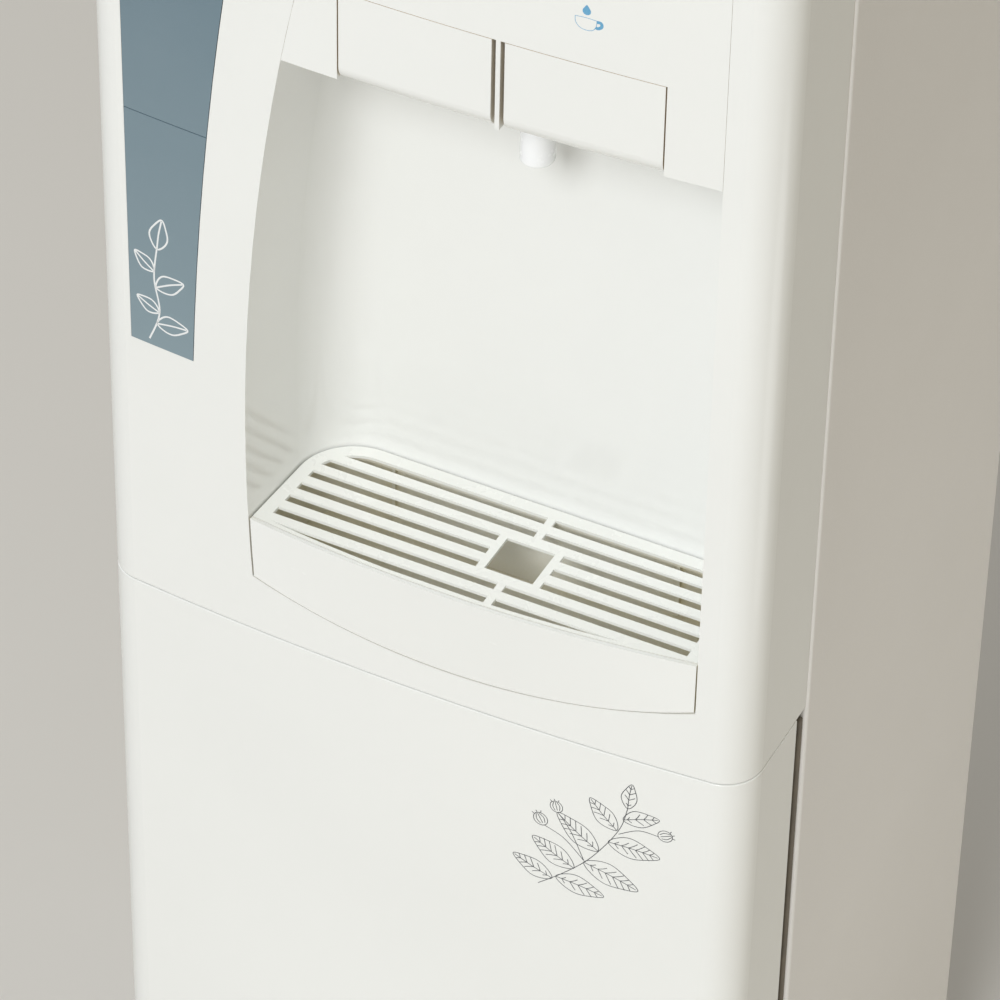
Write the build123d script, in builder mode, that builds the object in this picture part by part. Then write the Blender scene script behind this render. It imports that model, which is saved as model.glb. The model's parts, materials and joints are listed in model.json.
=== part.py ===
from build123d import *
import math
import os

# Top-loading water dispenser: a cooled compartment with a door below, a dispensing
# niche with two push paddles above it, and a seat for an upturned bottle on top.
# Millimetres. X is to the right, Y to the back, Z up. The origin is on the floor,
# under the middle of the whole object.

os.makedirs("parts", exist_ok=True)

# Whole body
body_width = 340.0
overall_depth = 350.0
overall_height = 1000.0
body_depth = 308.0
front_bow_radius = 1625.0
front_corner_radius = 19.0
front_setback = 4.2
pan_z = 14.0
kick_height = 40.0
seam_z = 500.0
shell_top_z = 955.0
cover_height = 30.0

# Walls and general clearances
shell_wall = 3.2
liner_wall = 2.5
sheet = 1.2
seam_gap = 0.8
seat_gap = 0.3
running_gap = 0.05
edge_round = 0.6

# Depths of the front module, from the crown of the bowed front
shell_side_depth = 74.2
panel_front_depth = 74.5
door_side_depth = 65.0

# Dispensing niche, placed from the drain window in the grille
grille_z = 568.0
niche_x = 39.0
niche_right = 104.5
niche_left = 126.7
niche_side_radius = 1188.0
niche_widest = 45.3
niche_depth = 76.0
niche_draft = 0.0547
niche_corner_radius = 30.0
niche_height = 270.5
smile_radius = 360.5
smile_left = 19.5
smile_drop = 50.5
window_depth = 34.6

# Coloured band beside the niche
band_edge_radius = 2008.0
band_edge_left = 156.0
band_edge_drop = 6.3
band_bottom = 82.0
band_split = 213.5
band_margin = 20.5
band_recess = 1.8
band_proud = 0.2
band_gap = 0.5

# Drip tray and grille
tray_gap = 0.9
tray_wall = 2.0
tray_front_radius = 752.0
tray_crown_left = 25.4
tray_ledge = 2.5
tray_ledge_height = 3.0
tray_rib_spread = 149.5
tray_rib_left = 10.2
tray_rib_width = 1.6
tray_rib_depth = 2.5
tray_rib_height = 33.0
runner_spread = 120.0
runner_width = 5.0
grille_thickness = 1.6
grille_gap = 0.4
grille_rim_side = 6.8
grille_rim_front = 2.2
slot_pitch = 10.4
slot_width = 5.1
slot_rows = 7
window_width = 25.0
window_length = 24.0
grille_bar = 4.0

# Fascia and paddles
fascia_top_z = 938.0
fascia_gap = 0.12
cheek_width = 2.6
cheek_depth = 23.0
paddle_shift = 0.5
paddle_width = 73.5
paddle_height = 48.2
paddle_drop = 2.0
paddle_gap = 2.0
paddle_side_gap = 0.7
paddle_top_gap = 0.3
paddle_depth = 17.0
paddle_wall = 2.2
paddle_chin_radius = 9.0
divider_width = 2.2
pivot_depth = 9.0
pivot_drop = 6.0
pivot_pin_radius = 1.5
pusher_width = 8.0
pusher_height = 10.0
lock_left = 72.5
lock_z = 908.0
lock_width = 21.0
lock_height = 12.0
lock_travel = 8.0
lock_thickness = 2.2
lock_stem_width = 4.0
lock_stem_height = 6.0
lock_groove = 0.6
lamp_z = 926.0
lamp_radius = 1.6
lamp_length = 7.0

# Valves and spout
valve_spread = 46.0
valve_width = 22.0
valve_length = 34.0
valve_depth = 25.0
valve_round = 2.0
valve_bore_length = 22.0
plunger_radius = 3.0
plunger_head_radius = 4.5
plunger_head = 2.5
plunger_length = 24.0
barb_radius = 4.5
barb_bore = 3.0
barb_length = 12.0
manifold_radius = 7.0
manifold_bore = 4.0
spout_set_back = 6.8
spout_radius = 8.0
spout_bore = 5.2
spout_flange_radius = 10.5
spout_flange = 2.0
spout_tip_z = 796.0
ceiling_wall = 2.5
ceiling_front_depth = 24.0
tube_radius = 6.0
tube_bend = 11.0
tube_run_gap = 4.0

# Side panels, rear panel and condenser
panel_proud = 1.0
hem_width = 12.0
hem_round = 2.5
hem_gap = 0.5
vent_width = 60.0
vent_height = 4.0
vent_pitch = 10.0
vent_rows = 9
vent_x = -120.0
vent_drop = 60.0
screw_radius = 2.0
screw_head_radius = 4.0
screw_head = 2.2
screw_length = 6.0
screw_inset = 9.0
condenser_x = 22.0
condenser_width = 250.0
condenser_bottom_z = 262.0
condenser_runs = 15
condenser_tube_radius = 3.0
condenser_pitch = 41.0
condenser_plate = 0.8
condenser_margin = 12.0
louvre_columns = 6
bracket_width = 16.0
bracket_wall = 2.0

# Base, feet and compressor
pan_sheet = 2.4
foot_radius = 18.0
foot_pad = 8.0
foot_stud_radius = 4.0
foot_stud_rise = 12.0
foot_inset_x = 32.0
foot_inset_y = 40.0
kick_slot_height = 4.0
kick_slot_length = 120.0
kick_slot_pitch = 9.0
bay_height = 150.0
bay_gap = 6.0
compressor_radius = 52.0
compressor_height = 124.0
compressor_flange = 130.0
compressor_plate = 3.0
relay_width = 28.0
relay_height = 40.0
grommet_radius = 11.0
grommet_height = 14.0
stud_radius = 3.0
stud_nut_radius = 6.0
stud_nut = 4.0

# Cooled compartment and its door
compartment_width = 280.0
compartment_top_wall = 30.0
compartment_bottom_wall = 30.0
compartment_depth = 190.0
compartment_low_depth = 88.0
compartment_step_z = 236.0
foam_back_gap = 17.0
shelf_wire_radius = 1.5
shelf_frame_radius = 2.5
shelf_wires = 15
shelf_z = 330.0
shelf_front_gap = 40.0
shelf_back_gap = 12.0
shelf_end_gap = 0.5
ledge_width = 6.0
ledge_height = 4.0
door_wall = 2.5
door_gap_low = 1.0
plug_width = 254.0
plug_depth = 20.0
plug_margin = 42.0
plug_rim = 12.0
plug_corner_radius = 14.0
gasket_width = 14.0
gasket_side_inset = 14.0
gasket_end_inset = 10.0
gasket_corner_radius = 5.0
hinge_inset = 13.0
hinge_depth = 40.0
hinge_pin_radius = 4.0
hinge_pin_gap = 1.0
hinge_plate = 3.0
hinge_eye_radius = 9.0
hinge_arm_width = 26.0
hinge_arm_tail = 22.0
bush_radius = 7.0
bush_length = 20.0
grip_height = 110.0
grip_depth = 13.0
grip_width = 24.0
grip_round = 6.0
grip_z = 400.0
grip_set_back = 36.0

# Tanks
tank_radius = 50.0
tank_wall = 1.0
tank_height = 350.0
neck_radius = 30.0
neck_height = 58.0
coil_radius = 4.0
coil_turns = 8
coil_pitch = 24.0
coil_start = 70.0
coil_open_angle = 40.0
foam_wall = 15.0
foam_floor = 16.0
foam_cap = 12.0
foam_bore_gap = 1.0
outlet_rise = 28.0
outlet_length = 13.0
hot_tank_x = -112.0
hot_tank_y = 62.0
hot_tank_radius = 40.0
hot_tank_height = 150.0
jacket_wall = 9.0
hot_outlet_offset = 32.0
heater_radius = 4.0
heater_spread = 28.0
heater_length = 90.0
heater_flange = 3.0
heater_rim = 3.0
terminal_height = 14.0
terminal_width = 6.0
hot_pipe_rise = 35.0

# Bottle seat on the top cover
well_radius = 122.0
well_depth = 6.0
well_hole_radius = 101.0
cover_round = 9.0
collar_flange = 3.0
collar_wall = 2.5
collar_mouth_radius = 96.0
collar_rim_width = 5.0
collar_neck_gap = 0.5
collar_neck_dip = 15.0
collar_slope_depth = 34.0
spike_radius = 9.0
spike_bore = 6.0
spike_tip_drop = 12.0
spike_tip = 14.0
spike_tip_radius = 3.0
spike_hole_radius = 2.5
spike_legs = 4
spike_leg_width = 3.0
spike_leg_height = 8.0
seal_thickness = 1.5
seal_inner_radius = 104.0
seal_outer_radius = 116.0
collar_edge_gap = 2.0

# Rear controls and connections
rocker_width = 13.0
rocker_height = 20.0
rocker_front = 4.5
rocker_back = 4.0
rocker_tilt = 8.0
rocker_gap = 0.8
rocker_pitch = 22.0
rocker_x = 110.0
rocker_z = 920.0
rocker_pin_radius = 1.5
rocker_pin_grip = 1.2
bezel_wall = 3.0
bezel_depth = 12.0
bezel_flange = 2.0
bezel_flange_width = 2.5
bezel_gap = 0.2
gland_x = 120.0
gland_z = 236.0
gland_radius = 11.0
gland_neck_radius = 8.0
gland_bore = 4.0
gland_flange = 4.0
gland_nut = 6.0
drain_left = 16.0
drain_rise = 20.0
drain_radius = 8.0
drain_bore = 5.0
drain_reach = 20.0
drain_hole_gap = 0.5
cap_wall = 3.0
cap_length = 14.0
cap_flutes = 12
cap_flute_radius = 1.5
box_width = 56.0
box_depth = 60.0
box_height = 120.0
box_wall = 2.0
box_x = 128.0
box_y = 60.0
box_vents = 5

# Places worked out from the sizes above
front_y = front_setback - overall_depth / 2
back_y = overall_depth / 2
rear_y = front_y + body_depth
shell_back_y = front_y + shell_side_depth
panel_front_y = front_y + panel_front_depth
door_back_y = front_y + door_side_depth
kick_top_z = pan_z + kick_height
door_bottom_z = kick_top_z + hinge_plate + door_gap_low
door_top_z = seam_z - seam_gap
door_height = door_top_z - door_bottom_z
door_middle_z = (door_bottom_z + door_top_z) / 2
panel_half = body_width / 2 + panel_proud
side_inner = panel_half - sheet
hem_inner = panel_half - hem_width - hem_gap
cover_top_z = shell_top_z + cover_height
niche_back_y = front_y + niche_depth
niche_right_x = niche_x + niche_right
niche_left_x = niche_x - niche_left
niche_widest_z = grille_z + niche_widest
ceiling_z = grille_z + niche_height
ceiling_top_z = ceiling_z + ceiling_wall
smile_x = niche_x - smile_left
smile_low_z = grille_z - smile_drop
window_y = front_y + window_depth
spout_y = window_y + spout_set_back
paddle_x = niche_x + paddle_shift
paddle_bottom_z = ceiling_z - paddle_drop
paddle_top_z = paddle_bottom_z + paddle_height
opening_top_z = paddle_top_z + paddle_top_gap
paddle_offset = divider_width / 2 + paddle_gap + paddle_width / 2
opening_half = paddle_offset + paddle_width / 2 + paddle_side_gap
pivot_y = front_y + pivot_depth
pivot_z = paddle_top_z - pivot_drop
valve_z = ceiling_top_z + valve_width / 2
valve_front_y = front_y + valve_depth
valve_back_y = valve_front_y + valve_length
hot_valve_x = paddle_x - valve_spread / 2
cold_valve_x = paddle_x + valve_spread / 2
deck_z = seam_z + shell_wall
foam_top_z = deck_z - sheet
hinge_x = body_width / 2 - hinge_inset
hinge_y = front_y + hinge_depth
compartment_top_z = foam_top_z - compartment_top_wall
compartment_bottom_z = kick_top_z + compartment_bottom_wall
bay_z = kick_top_z + bay_height
rear_bottom_z = bay_z + foam_back_gap / 2
compressor_y = rear_y - sheet - bay_gap - compressor_flange / 2
tank_bottom_z = deck_z + foam_floor
tank_top_z = tank_bottom_z + tank_height
neck_top_z = tank_top_z + neck_height
foam_bore_radius = tank_radius + 2 * coil_radius + foam_bore_gap
foam_radius = foam_bore_radius + foam_wall
hot_tank_z = deck_z + jacket_wall
hot_tank_top_z = hot_tank_z + hot_tank_height
well_floor_z = cover_top_z - well_depth
collar_z = well_floor_z + seat_gap + seal_thickness
tube_y = niche_back_y + liner_wall + tube_run_gap + tube_radius


# Shared shapes

def facing(y):
    """Upright plane across the body at a depth y, seen from the front."""
    return Plane.XZ.offset(-y)


def front_at(x, inset=0.0):
    """Y of the bowed front face at a distance x from the middle of the body."""
    radius = front_bow_radius - inset
    return front_y + inset + radius - math.sqrt(radius**2 - x**2)


def tray_front_at(x):
    """Y of the tray's upper rim, which bows out of the body's front."""
    across = x - niche_x + tray_crown_left
    return tray_front_radius - overall_depth / 2 - math.sqrt(tray_front_radius**2 - across**2)


def body_plan(inset, back, mode=Mode.ADD):
    """Plan of the body: a bowed front with round corners, straight sides and back."""
    half = body_width / 2 - inset
    bow = front_bow_radius - inset
    corner = front_corner_radius - inset
    middle_x = half - corner
    middle_y = front_y + inset + bow - math.sqrt((bow - corner) ** 2 - middle_x**2)
    touch_x = middle_x * bow / (bow - corner)
    touch_y = front_at(touch_x, inset)
    lean = math.atan2(middle_y - touch_y, touch_x - middle_x) / 2
    turn_x = middle_x + corner * math.cos(lean)
    turn_y = middle_y - corner * math.sin(lean)
    with BuildLine() as outline:
        ThreePointArc((-touch_x, touch_y), (0, front_y + inset), (touch_x, touch_y))
        ThreePointArc((touch_x, touch_y), (turn_x, turn_y), (half, middle_y))
        Polyline((half, middle_y), (half, back), (-half, back), (-half, middle_y))
        ThreePointArc((-half, middle_y), (-turn_x, turn_y), (-touch_x, touch_y))
    make_face(outline.edges(), mode=mode)


def body_skin(outset, depth, bottom, top):
    """Upright skin that follows the front and the sides of the body."""
    with BuildPart() as skin:
        with BuildSketch(Plane.XY.offset(bottom)):
            body_plan(-outset, shell_back_y)
            body_plan(depth, shell_back_y + depth, mode=Mode.SUBTRACT)
        extrude(amount=top - bottom)
    return skin.part


def niche_form(inset, bottom, top):
    """Solid that fills the niche: a bulging left side that leans in towards the back,
    a straight right side, a smile below and round corners at the back."""
    back_at = niche_back_y - inset
    length = niche_depth + 2 * shell_wall
    back_radius = niche_side_radius - inset - niche_draft * (niche_depth - inset)
    with BuildPart() as form:
        with Locations((niche_left_x + niche_side_radius, back_at, niche_widest_z)):
            Cone(
                back_radius,
                back_radius + niche_draft * length,
                length,
                rotation=(90, 0, 0),
                align=(Align.CENTER, Align.CENTER, Align.MIN),
            )
        with BuildSketch(facing(back_at)):
            with Locations((smile_x, smile_low_z + smile_radius)):
                Circle(smile_radius - inset)
            with Locations((niche_right_x - inset, bottom)):
                Rectangle(
                    body_width, top - bottom, align=(Align.MAX, Align.MIN), mode=Mode.INTERSECT
                )
        extrude(amount=length, mode=Mode.INTERSECT)
        upright = form.edges().group_by(Axis.Y)[-1].sort_by(Axis.X)
        fillet([upright[0], upright[-1]], niche_corner_radius - inset)
    return form.part


def tray_form(side_inset, front_inset, bottom, top):
    """Solid that fills the foot of the niche. Its front rises from the body's face to
    the bowed rim."""
    inside = niche_form(side_inset, smile_low_z - smile_drop, top)
    left = niche_left_x
    right = niche_right_x
    middle = (left + right) / 2
    with BuildPart() as form:
        for level, front in ((smile_low_z, front_at), (grille_z, tray_front_at)):
            with BuildSketch(Plane.XY.offset(level)):
                with BuildLine():
                    ThreePointArc(
                        (left, front(left) + front_inset),
                        (middle, front(middle) + front_inset),
                        (right, front(right) + front_inset),
                    )
                    Polyline(
                        (right, front(right) + front_inset),
                        (right, niche_back_y),
                        (left, niche_back_y),
                        (left, front(left) + front_inset),
                    )
                make_face()
        loft(ruled=True)
        add(inside, mode=Mode.INTERSECT)
        with BuildSketch(Plane.XY.offset(bottom)):
            Rectangle(body_width, overall_depth)
        extrude(amount=top - bottom, mode=Mode.INTERSECT)
    return form.part


def save(piece, name):
    """Label a finished piece and write it."""
    piece.part.label = name
    export_step(piece.part, "parts/" + name + ".step")


# Base pan, feet and kick panel

foot_places = [
    (side * (body_width / 2 - foot_inset_x), y)
    for side in (-1, 1)
    for y in (front_y + foot_inset_y, rear_y - foot_inset_y)
]
bolt_reach = compressor_flange / 2 - grommet_radius
bolt_places = [
    (x_side * bolt_reach, compressor_y + y_side * bolt_reach)
    for x_side in (-1, 1)
    for y_side in (-1, 1)
]
pan_rear_y = panel_front_y + sheet
pan_length = rear_y - sheet - pan_rear_y

with BuildPart() as base_pan:
    with BuildSketch(Plane.XY.offset(pan_z)):
        body_plan(shell_wall, shell_back_y)
        with Locations((0, shell_back_y)):
            Rectangle(2 * hem_inner, 4 * sheet)
        with Locations((0, pan_rear_y + pan_length / 2)):
            Rectangle(2 * side_inner, pan_length)
    extrude(amount=pan_sheet)
    with BuildSketch(Plane.XY.offset(pan_z)):
        with Locations((0, pan_rear_y + pan_length / 2)):
            Rectangle(2 * side_inner, pan_length)
            Rectangle(2 * (side_inner - pan_sheet), pan_length - 2 * pan_sheet, mode=Mode.SUBTRACT)
    extrude(amount=kick_height)
    with Locations(*[(x, y, pan_z + pan_sheet) for x, y in foot_places]):
        Hole(foot_stud_radius, depth=pan_sheet)
    with Locations(*[(x, y, pan_z + pan_sheet) for x, y in bolt_places]):
        Hole(stud_radius, depth=pan_sheet)
save(base_pan, "base_pan")

with BuildPart() as levelling_feet:
    with Locations(*[(x, y, 0) for x, y in foot_places]):
        Cylinder(foot_radius, foot_pad, align=(Align.CENTER, Align.CENTER, Align.MIN))
        Cylinder(
            foot_stud_radius,
            pan_z + pan_sheet + foot_stud_rise,
            align=(Align.CENTER, Align.CENTER, Align.MIN),
        )
    with BuildSketch(Plane.XY.offset(foot_pad)):
        with Locations(*foot_places):
            RegularPolygon(2 * foot_stud_radius, 6)
    extrude(amount=pan_z - foot_pad)
    chamfer(levelling_feet.edges().group_by(Axis.Z)[0], foot_pad / 5)
save(levelling_feet, "levelling_feet")

with BuildPart() as kick_panel:
    with BuildSketch(Plane.XY.offset(pan_z)):
        body_plan(0, shell_back_y)
    extrude(amount=kick_height)
    fillet(kick_panel.edges().group_by(Axis.Z)[-1].sort_by(Axis.Y)[0:5], edge_round)
    with BuildSketch(Plane.XY.offset(pan_z)):
        body_plan(shell_wall, shell_back_y + shell_wall)
    extrude(amount=kick_height - shell_wall, mode=Mode.SUBTRACT)
    with BuildSketch(facing(front_y + 3 * shell_wall)):
        with Locations((0, pan_z + kick_height / 2)):
            with GridLocations(kick_slot_length + 3 * kick_slot_height, kick_slot_pitch, 2, 3):
                SlotOverall(kick_slot_length, kick_slot_height)
    extrude(amount=4 * shell_wall, mode=Mode.SUBTRACT)
save(kick_panel, "kick_panel")

# Compressor on its rubber feet

grommet_z = pan_z + pan_sheet
compressor_z = grommet_z + grommet_height
with BuildPart() as compressor:
    with Locations((0, compressor_y, compressor_z)):
        Cylinder(
            compressor_radius, compressor_height, align=(Align.CENTER, Align.CENTER, Align.MIN)
        )
    crown = compressor.edges().filter_by(GeomType.CIRCLE).sort_by(Axis.Z)[-1]
    fillet(crown, compressor_radius * 0.6)
    with BuildSketch(Plane.XY.offset(compressor_z)):
        with Locations((0, compressor_y)):
            RectangleRounded(compressor_flange, compressor_flange, grommet_radius)
    extrude(amount=compressor_plate)
    with Locations((compressor_radius, compressor_y, compressor_z + compressor_height / 2)):
        Box(relay_width, relay_width, relay_height)
    with Locations(*[(x, y, compressor_z + compressor_plate) for x, y in bolt_places]):
        Hole(stud_radius, depth=compressor_plate)
save(compressor, "compressor")

with BuildPart() as compressor_grommets:
    with Locations(*[(x, y, grommet_z) for x, y in bolt_places]):
        Cylinder(grommet_radius, grommet_height, align=(Align.CENTER, Align.CENTER, Align.MIN))
        Cylinder(
            stud_radius,
            grommet_height,
            align=(Align.CENTER, Align.CENTER, Align.MIN),
            mode=Mode.SUBTRACT,
        )
save(compressor_grommets, "compressor_grommets")

with BuildPart() as compressor_studs:
    with Locations(*[(x, y, pan_z) for x, y in bolt_places]):
        Cylinder(
            stud_radius,
            pan_sheet + grommet_height + compressor_plate + 2 * stud_nut,
            align=(Align.CENTER, Align.CENTER, Align.MIN),
        )
    with BuildSketch(Plane.XY.offset(compressor_z + compressor_plate)):
        with Locations(*bolt_places):
            RegularPolygon(stud_nut_radius, 6)
    extrude(amount=stud_nut)
save(compressor_studs, "compressor_studs")

# Side panels, rear panel and condenser


def side_panel(side):
    """Painted steel side. Its front edge is folded inwards round a small radius."""
    outer = side * panel_half
    with BuildPart() as panel:
        with BuildSketch(Plane.XY.offset(pan_z)):
            with BuildLine():
                Polyline(
                    (outer, rear_y),
                    (outer, panel_front_y),
                    (outer - side * hem_width, panel_front_y),
                    (outer - side * hem_width, panel_front_y + sheet),
                    (outer - side * sheet, panel_front_y + sheet),
                    (outer - side * sheet, rear_y),
                    close=True,
                )
            make_face()
        extrude(amount=shell_top_z - pan_z)
        corners = panel.edges().filter_by(Axis.Z).group_by(Axis.Y)[0].sort_by(Axis.X)
        fillet(corners[-1 if side > 0 else 0], hem_round)
    return panel


side_panel_left = side_panel(-1)
save(side_panel_left, "side_panel_left")
side_panel_right = side_panel(1)
save(side_panel_right, "side_panel_right")

screw_places = [
    (side * (side_inner - screw_inset), z)
    for side in (-1, 1)
    for z in (
        rear_bottom_z + screw_inset,
        (rear_bottom_z + shell_top_z) / 2,
        shell_top_z - screw_inset,
    )
]
bezel_width = rocker_pitch + rocker_width + 2 * (rocker_gap + bezel_wall)
bezel_height = rocker_height + 2 * (rocker_gap + bezel_wall)
drain_x = hot_tank_x - drain_left
drain_z = hot_tank_z + drain_rise

with BuildPart() as rear_panel:
    with BuildSketch(facing(rear_y)):
        with Locations((0, (rear_bottom_z + shell_top_z) / 2)):
            Rectangle(2 * side_inner, shell_top_z - rear_bottom_z)
        with Locations((vent_x, shell_top_z - vent_drop)):
            with GridLocations(vent_width, vent_pitch, 1, vent_rows):
                SlotOverall(vent_width, vent_height, mode=Mode.SUBTRACT)
        with Locations(*screw_places):
            Circle(screw_radius, mode=Mode.SUBTRACT)
        with Locations((rocker_x, rocker_z)):
            Rectangle(
                bezel_width + 2 * bezel_gap, bezel_height + 2 * bezel_gap, mode=Mode.SUBTRACT
            )
        with Locations((gland_x, gland_z)):
            Circle(gland_neck_radius, mode=Mode.SUBTRACT)
        with Locations((drain_x, drain_z)):
            Circle(drain_radius + drain_hole_gap, mode=Mode.SUBTRACT)
    extrude(amount=sheet)
save(rear_panel, "rear_panel")

with BuildPart() as rear_screws:
    with BuildSketch(facing(rear_y + screw_head)):
        with Locations(*screw_places):
            Circle(screw_head_radius)
    extrude(amount=screw_head)
    with BuildSketch(facing(rear_y)):
        with Locations(*screw_places):
            Circle(screw_radius)
    extrude(amount=screw_length)
    rims = rear_screws.edges().filter_by(GeomType.CIRCLE).group_by(Axis.Y)[-1]
    chamfer(rims, screw_head / 3)
    with BuildSketch(facing(rear_y + screw_head)):
        with Locations(*screw_places):
            Rectangle(screw_head_radius, screw_radius / 2)
            Rectangle(screw_radius / 2, screw_head_radius)
    extrude(amount=screw_head / 2, mode=Mode.SUBTRACT)
save(rear_screws, "rear_screws")

condenser_height = (condenser_runs - 1) * condenser_pitch + 2 * condenser_margin
condenser_middle_z = condenser_bottom_z + condenser_height / 2
condenser_tube_y = back_y - condenser_tube_radius
plate_back_y = condenser_tube_y - condenser_tube_radius + condenser_plate / 2
run_end = condenser_width / 2 - condenser_margin - condenser_pitch / 2
with BuildPart() as condenser:
    with BuildSketch(facing(plate_back_y)):
        with Locations((condenser_x, condenser_middle_z)):
            Rectangle(condenser_width, condenser_height)
            with GridLocations(
                condenser_width / (louvre_columns + 1),
                condenser_pitch,
                louvre_columns,
                condenser_runs - 1,
            ):
                SlotOverall(condenser_pitch / 2, 2 * condenser_tube_radius, mode=Mode.SUBTRACT)
    extrude(amount=condenser_plate)
    for run in range(condenser_runs):
        run_z = condenser_bottom_z + condenser_margin + run * condenser_pitch
        with Locations((condenser_x, condenser_tube_y, run_z)):
            Cylinder(condenser_tube_radius, 2 * run_end, rotation=(0, 90, 0))
    for run in range(condenser_runs - 1):
        side = 1 if run % 2 else -1
        bend_z = condenser_bottom_z + condenser_margin + (run + 0.5) * condenser_pitch
        with BuildLine(facing(condenser_tube_y)) as bend:
            CenterArc(
                (condenser_x + side * run_end, bend_z), condenser_pitch / 2, -90, side * 180
            )
        with BuildSketch(Plane(origin=bend.line @ 0, z_dir=bend.line % 0)):
            Circle(condenser_tube_radius)
        sweep()
save(condenser, "condenser")

bracket_places = [
    (condenser_x + x_side * (condenser_width / 2 - bracket_width), rear_y, condenser_middle_z + z)
    for x_side in (-1, 1)
    for z in (bracket_width - condenser_height / 2, condenser_height / 2 - bracket_width)
]
bracket_depth = plate_back_y - condenser_plate - rear_y
with BuildPart() as condenser_brackets:
    with Locations(*bracket_places):
        Box(
            bracket_width,
            bracket_depth,
            bracket_width,
            align=(Align.CENTER, Align.MIN, Align.CENTER),
        )
    with Locations(*[(x, y + bracket_wall, z) for x, y, z in bracket_places]):
        Box(
            bracket_width - 2 * bracket_wall,
            bracket_depth - 2 * bracket_wall,
            bracket_width,
            align=(Align.CENTER, Align.MIN, Align.CENTER),
            mode=Mode.SUBTRACT,
        )
save(condenser_brackets, "condenser_brackets")

# Hinge plates and pins

with BuildPart() as hinge_plates:
    for level in (kick_top_z, deck_z):
        with BuildSketch(Plane.XY.offset(level)):
            with Locations((hem_inner, hinge_y - hinge_eye_radius)):
                Rectangle(
                    hinge_arm_width,
                    panel_front_y + hinge_arm_tail - hinge_y + hinge_eye_radius,
                    align=(Align.MAX, Align.MIN),
                )
            with Locations((hinge_x, hinge_y)):
                Circle(hinge_eye_radius)
                Circle(hinge_pin_radius, mode=Mode.SUBTRACT)
        extrude(amount=hinge_plate)
save(hinge_plates, "hinge_plates")

with BuildPart() as hinge_pins:
    with Locations((hinge_x, hinge_y, kick_top_z)):
        Cylinder(
            hinge_pin_radius,
            door_bottom_z + bush_length - hinge_pin_gap - kick_top_z,
            align=(Align.CENTER, Align.CENTER, Align.MIN),
        )
    with Locations((hinge_x, hinge_y, deck_z + hinge_plate)):
        Cylinder(
            hinge_pin_radius,
            deck_z + hinge_plate - door_top_z + bush_length - hinge_pin_gap,
            align=(Align.CENTER, Align.CENTER, Align.MAX),
        )
        Cylinder(
            (hinge_pin_radius + hinge_eye_radius) / 2,
            hinge_plate,
            align=(Align.CENTER, Align.CENTER, Align.MIN),
        )
save(hinge_pins, "hinge_pins")

# Cooled compartment: foam, liner, shelf and deck

foam_front_y = panel_front_y + liner_wall
foam_low_back_y = compressor_y - compressor_flange / 2 - bay_gap


def compartment_form(grow, front):
    """Solid that fills the compartment: deep above, shallow in front of the compressor."""
    low_y = panel_front_y + compartment_low_depth + grow
    high_y = panel_front_y + compartment_depth + grow
    with BuildPart() as form:
        with BuildSketch(Plane.YZ):
            with BuildLine():
                Polyline(
                    (front, compartment_bottom_z - grow),
                    (low_y, compartment_bottom_z - grow),
                    (low_y, compartment_step_z - grow),
                    (high_y, compartment_step_z - grow),
                    (high_y, compartment_top_z + grow),
                    (front, compartment_top_z + grow),
                    close=True,
                )
            make_face()
        extrude(amount=compartment_width / 2 + grow, both=True)
    return form.part


compartment_outside = compartment_form(liner_wall, panel_front_y)
compartment_inside = compartment_form(0, panel_front_y - liner_wall)

with BuildPart() as cabinet_foam:
    with BuildSketch(Plane.YZ):
        with BuildLine():
            Polyline(
                (foam_front_y, kick_top_z),
                (foam_low_back_y, kick_top_z),
                (foam_low_back_y, bay_z),
                (rear_y - foam_back_gap, bay_z),
                (rear_y - foam_back_gap, foam_top_z),
                (foam_front_y, foam_top_z),
                close=True,
            )
        make_face()
    extrude(amount=side_inner, both=True)
    add(compartment_outside, mode=Mode.SUBTRACT)
    add(hinge_plates.part, mode=Mode.SUBTRACT)
save(cabinet_foam, "cabinet_foam")

ledge_top_z = shelf_z - shelf_frame_radius - seat_gap
with BuildPart() as cabinet_liner:
    add(compartment_outside)
    with BuildSketch(facing(foam_front_y)):
        with Locations((0, (kick_top_z + foam_top_z) / 2)):
            Rectangle(2 * hem_inner, foam_top_z - kick_top_z)
    extrude(amount=liner_wall)
    add(compartment_inside, mode=Mode.SUBTRACT)
    add(hinge_plates.part, mode=Mode.SUBTRACT)
    for side in (-1, 1):
        ledge_x = side * (compartment_width - ledge_width) / 2
        with Locations((ledge_x, panel_front_y + compartment_depth, ledge_top_z)):
            Box(
                ledge_width,
                compartment_depth - shelf_front_gap,
                ledge_height,
                align=(Align.CENTER, Align.MAX, Align.MAX),
            )
save(cabinet_liner, "cabinet_liner")

shelf_length = compartment_depth - shelf_front_gap - shelf_back_gap
shelf_middle_y = panel_front_y + shelf_front_gap + shelf_length / 2
wire_pitch = (compartment_width - 4 * ledge_width) / (shelf_wires - 1)
with BuildPart() as cabinet_shelf:
    with Locations((0, shelf_middle_y, shelf_z + shelf_wire_radius)):
        with GridLocations(wire_pitch, 1, shelf_wires, 1):
            Cylinder(shelf_wire_radius, shelf_length, rotation=(90, 0, 0))
    with Locations((0, shelf_middle_y, shelf_z)):
        with GridLocations(1, shelf_length - 2 * shelf_back_gap, 1, 2):
            Cylinder(
                shelf_frame_radius, compartment_width - 2 * shelf_end_gap, rotation=(0, 90, 0)
            )
save(cabinet_shelf, "cabinet_shelf")

with BuildPart() as deck_plate:
    with BuildSketch(Plane.XY.offset(foam_top_z)):
        with Locations((0, (foam_front_y + rear_y - sheet) / 2)):
            Rectangle(2 * side_inner, rear_y - sheet - foam_front_y)
    extrude(amount=sheet)
save(deck_plate, "deck_plate")

# Door


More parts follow.
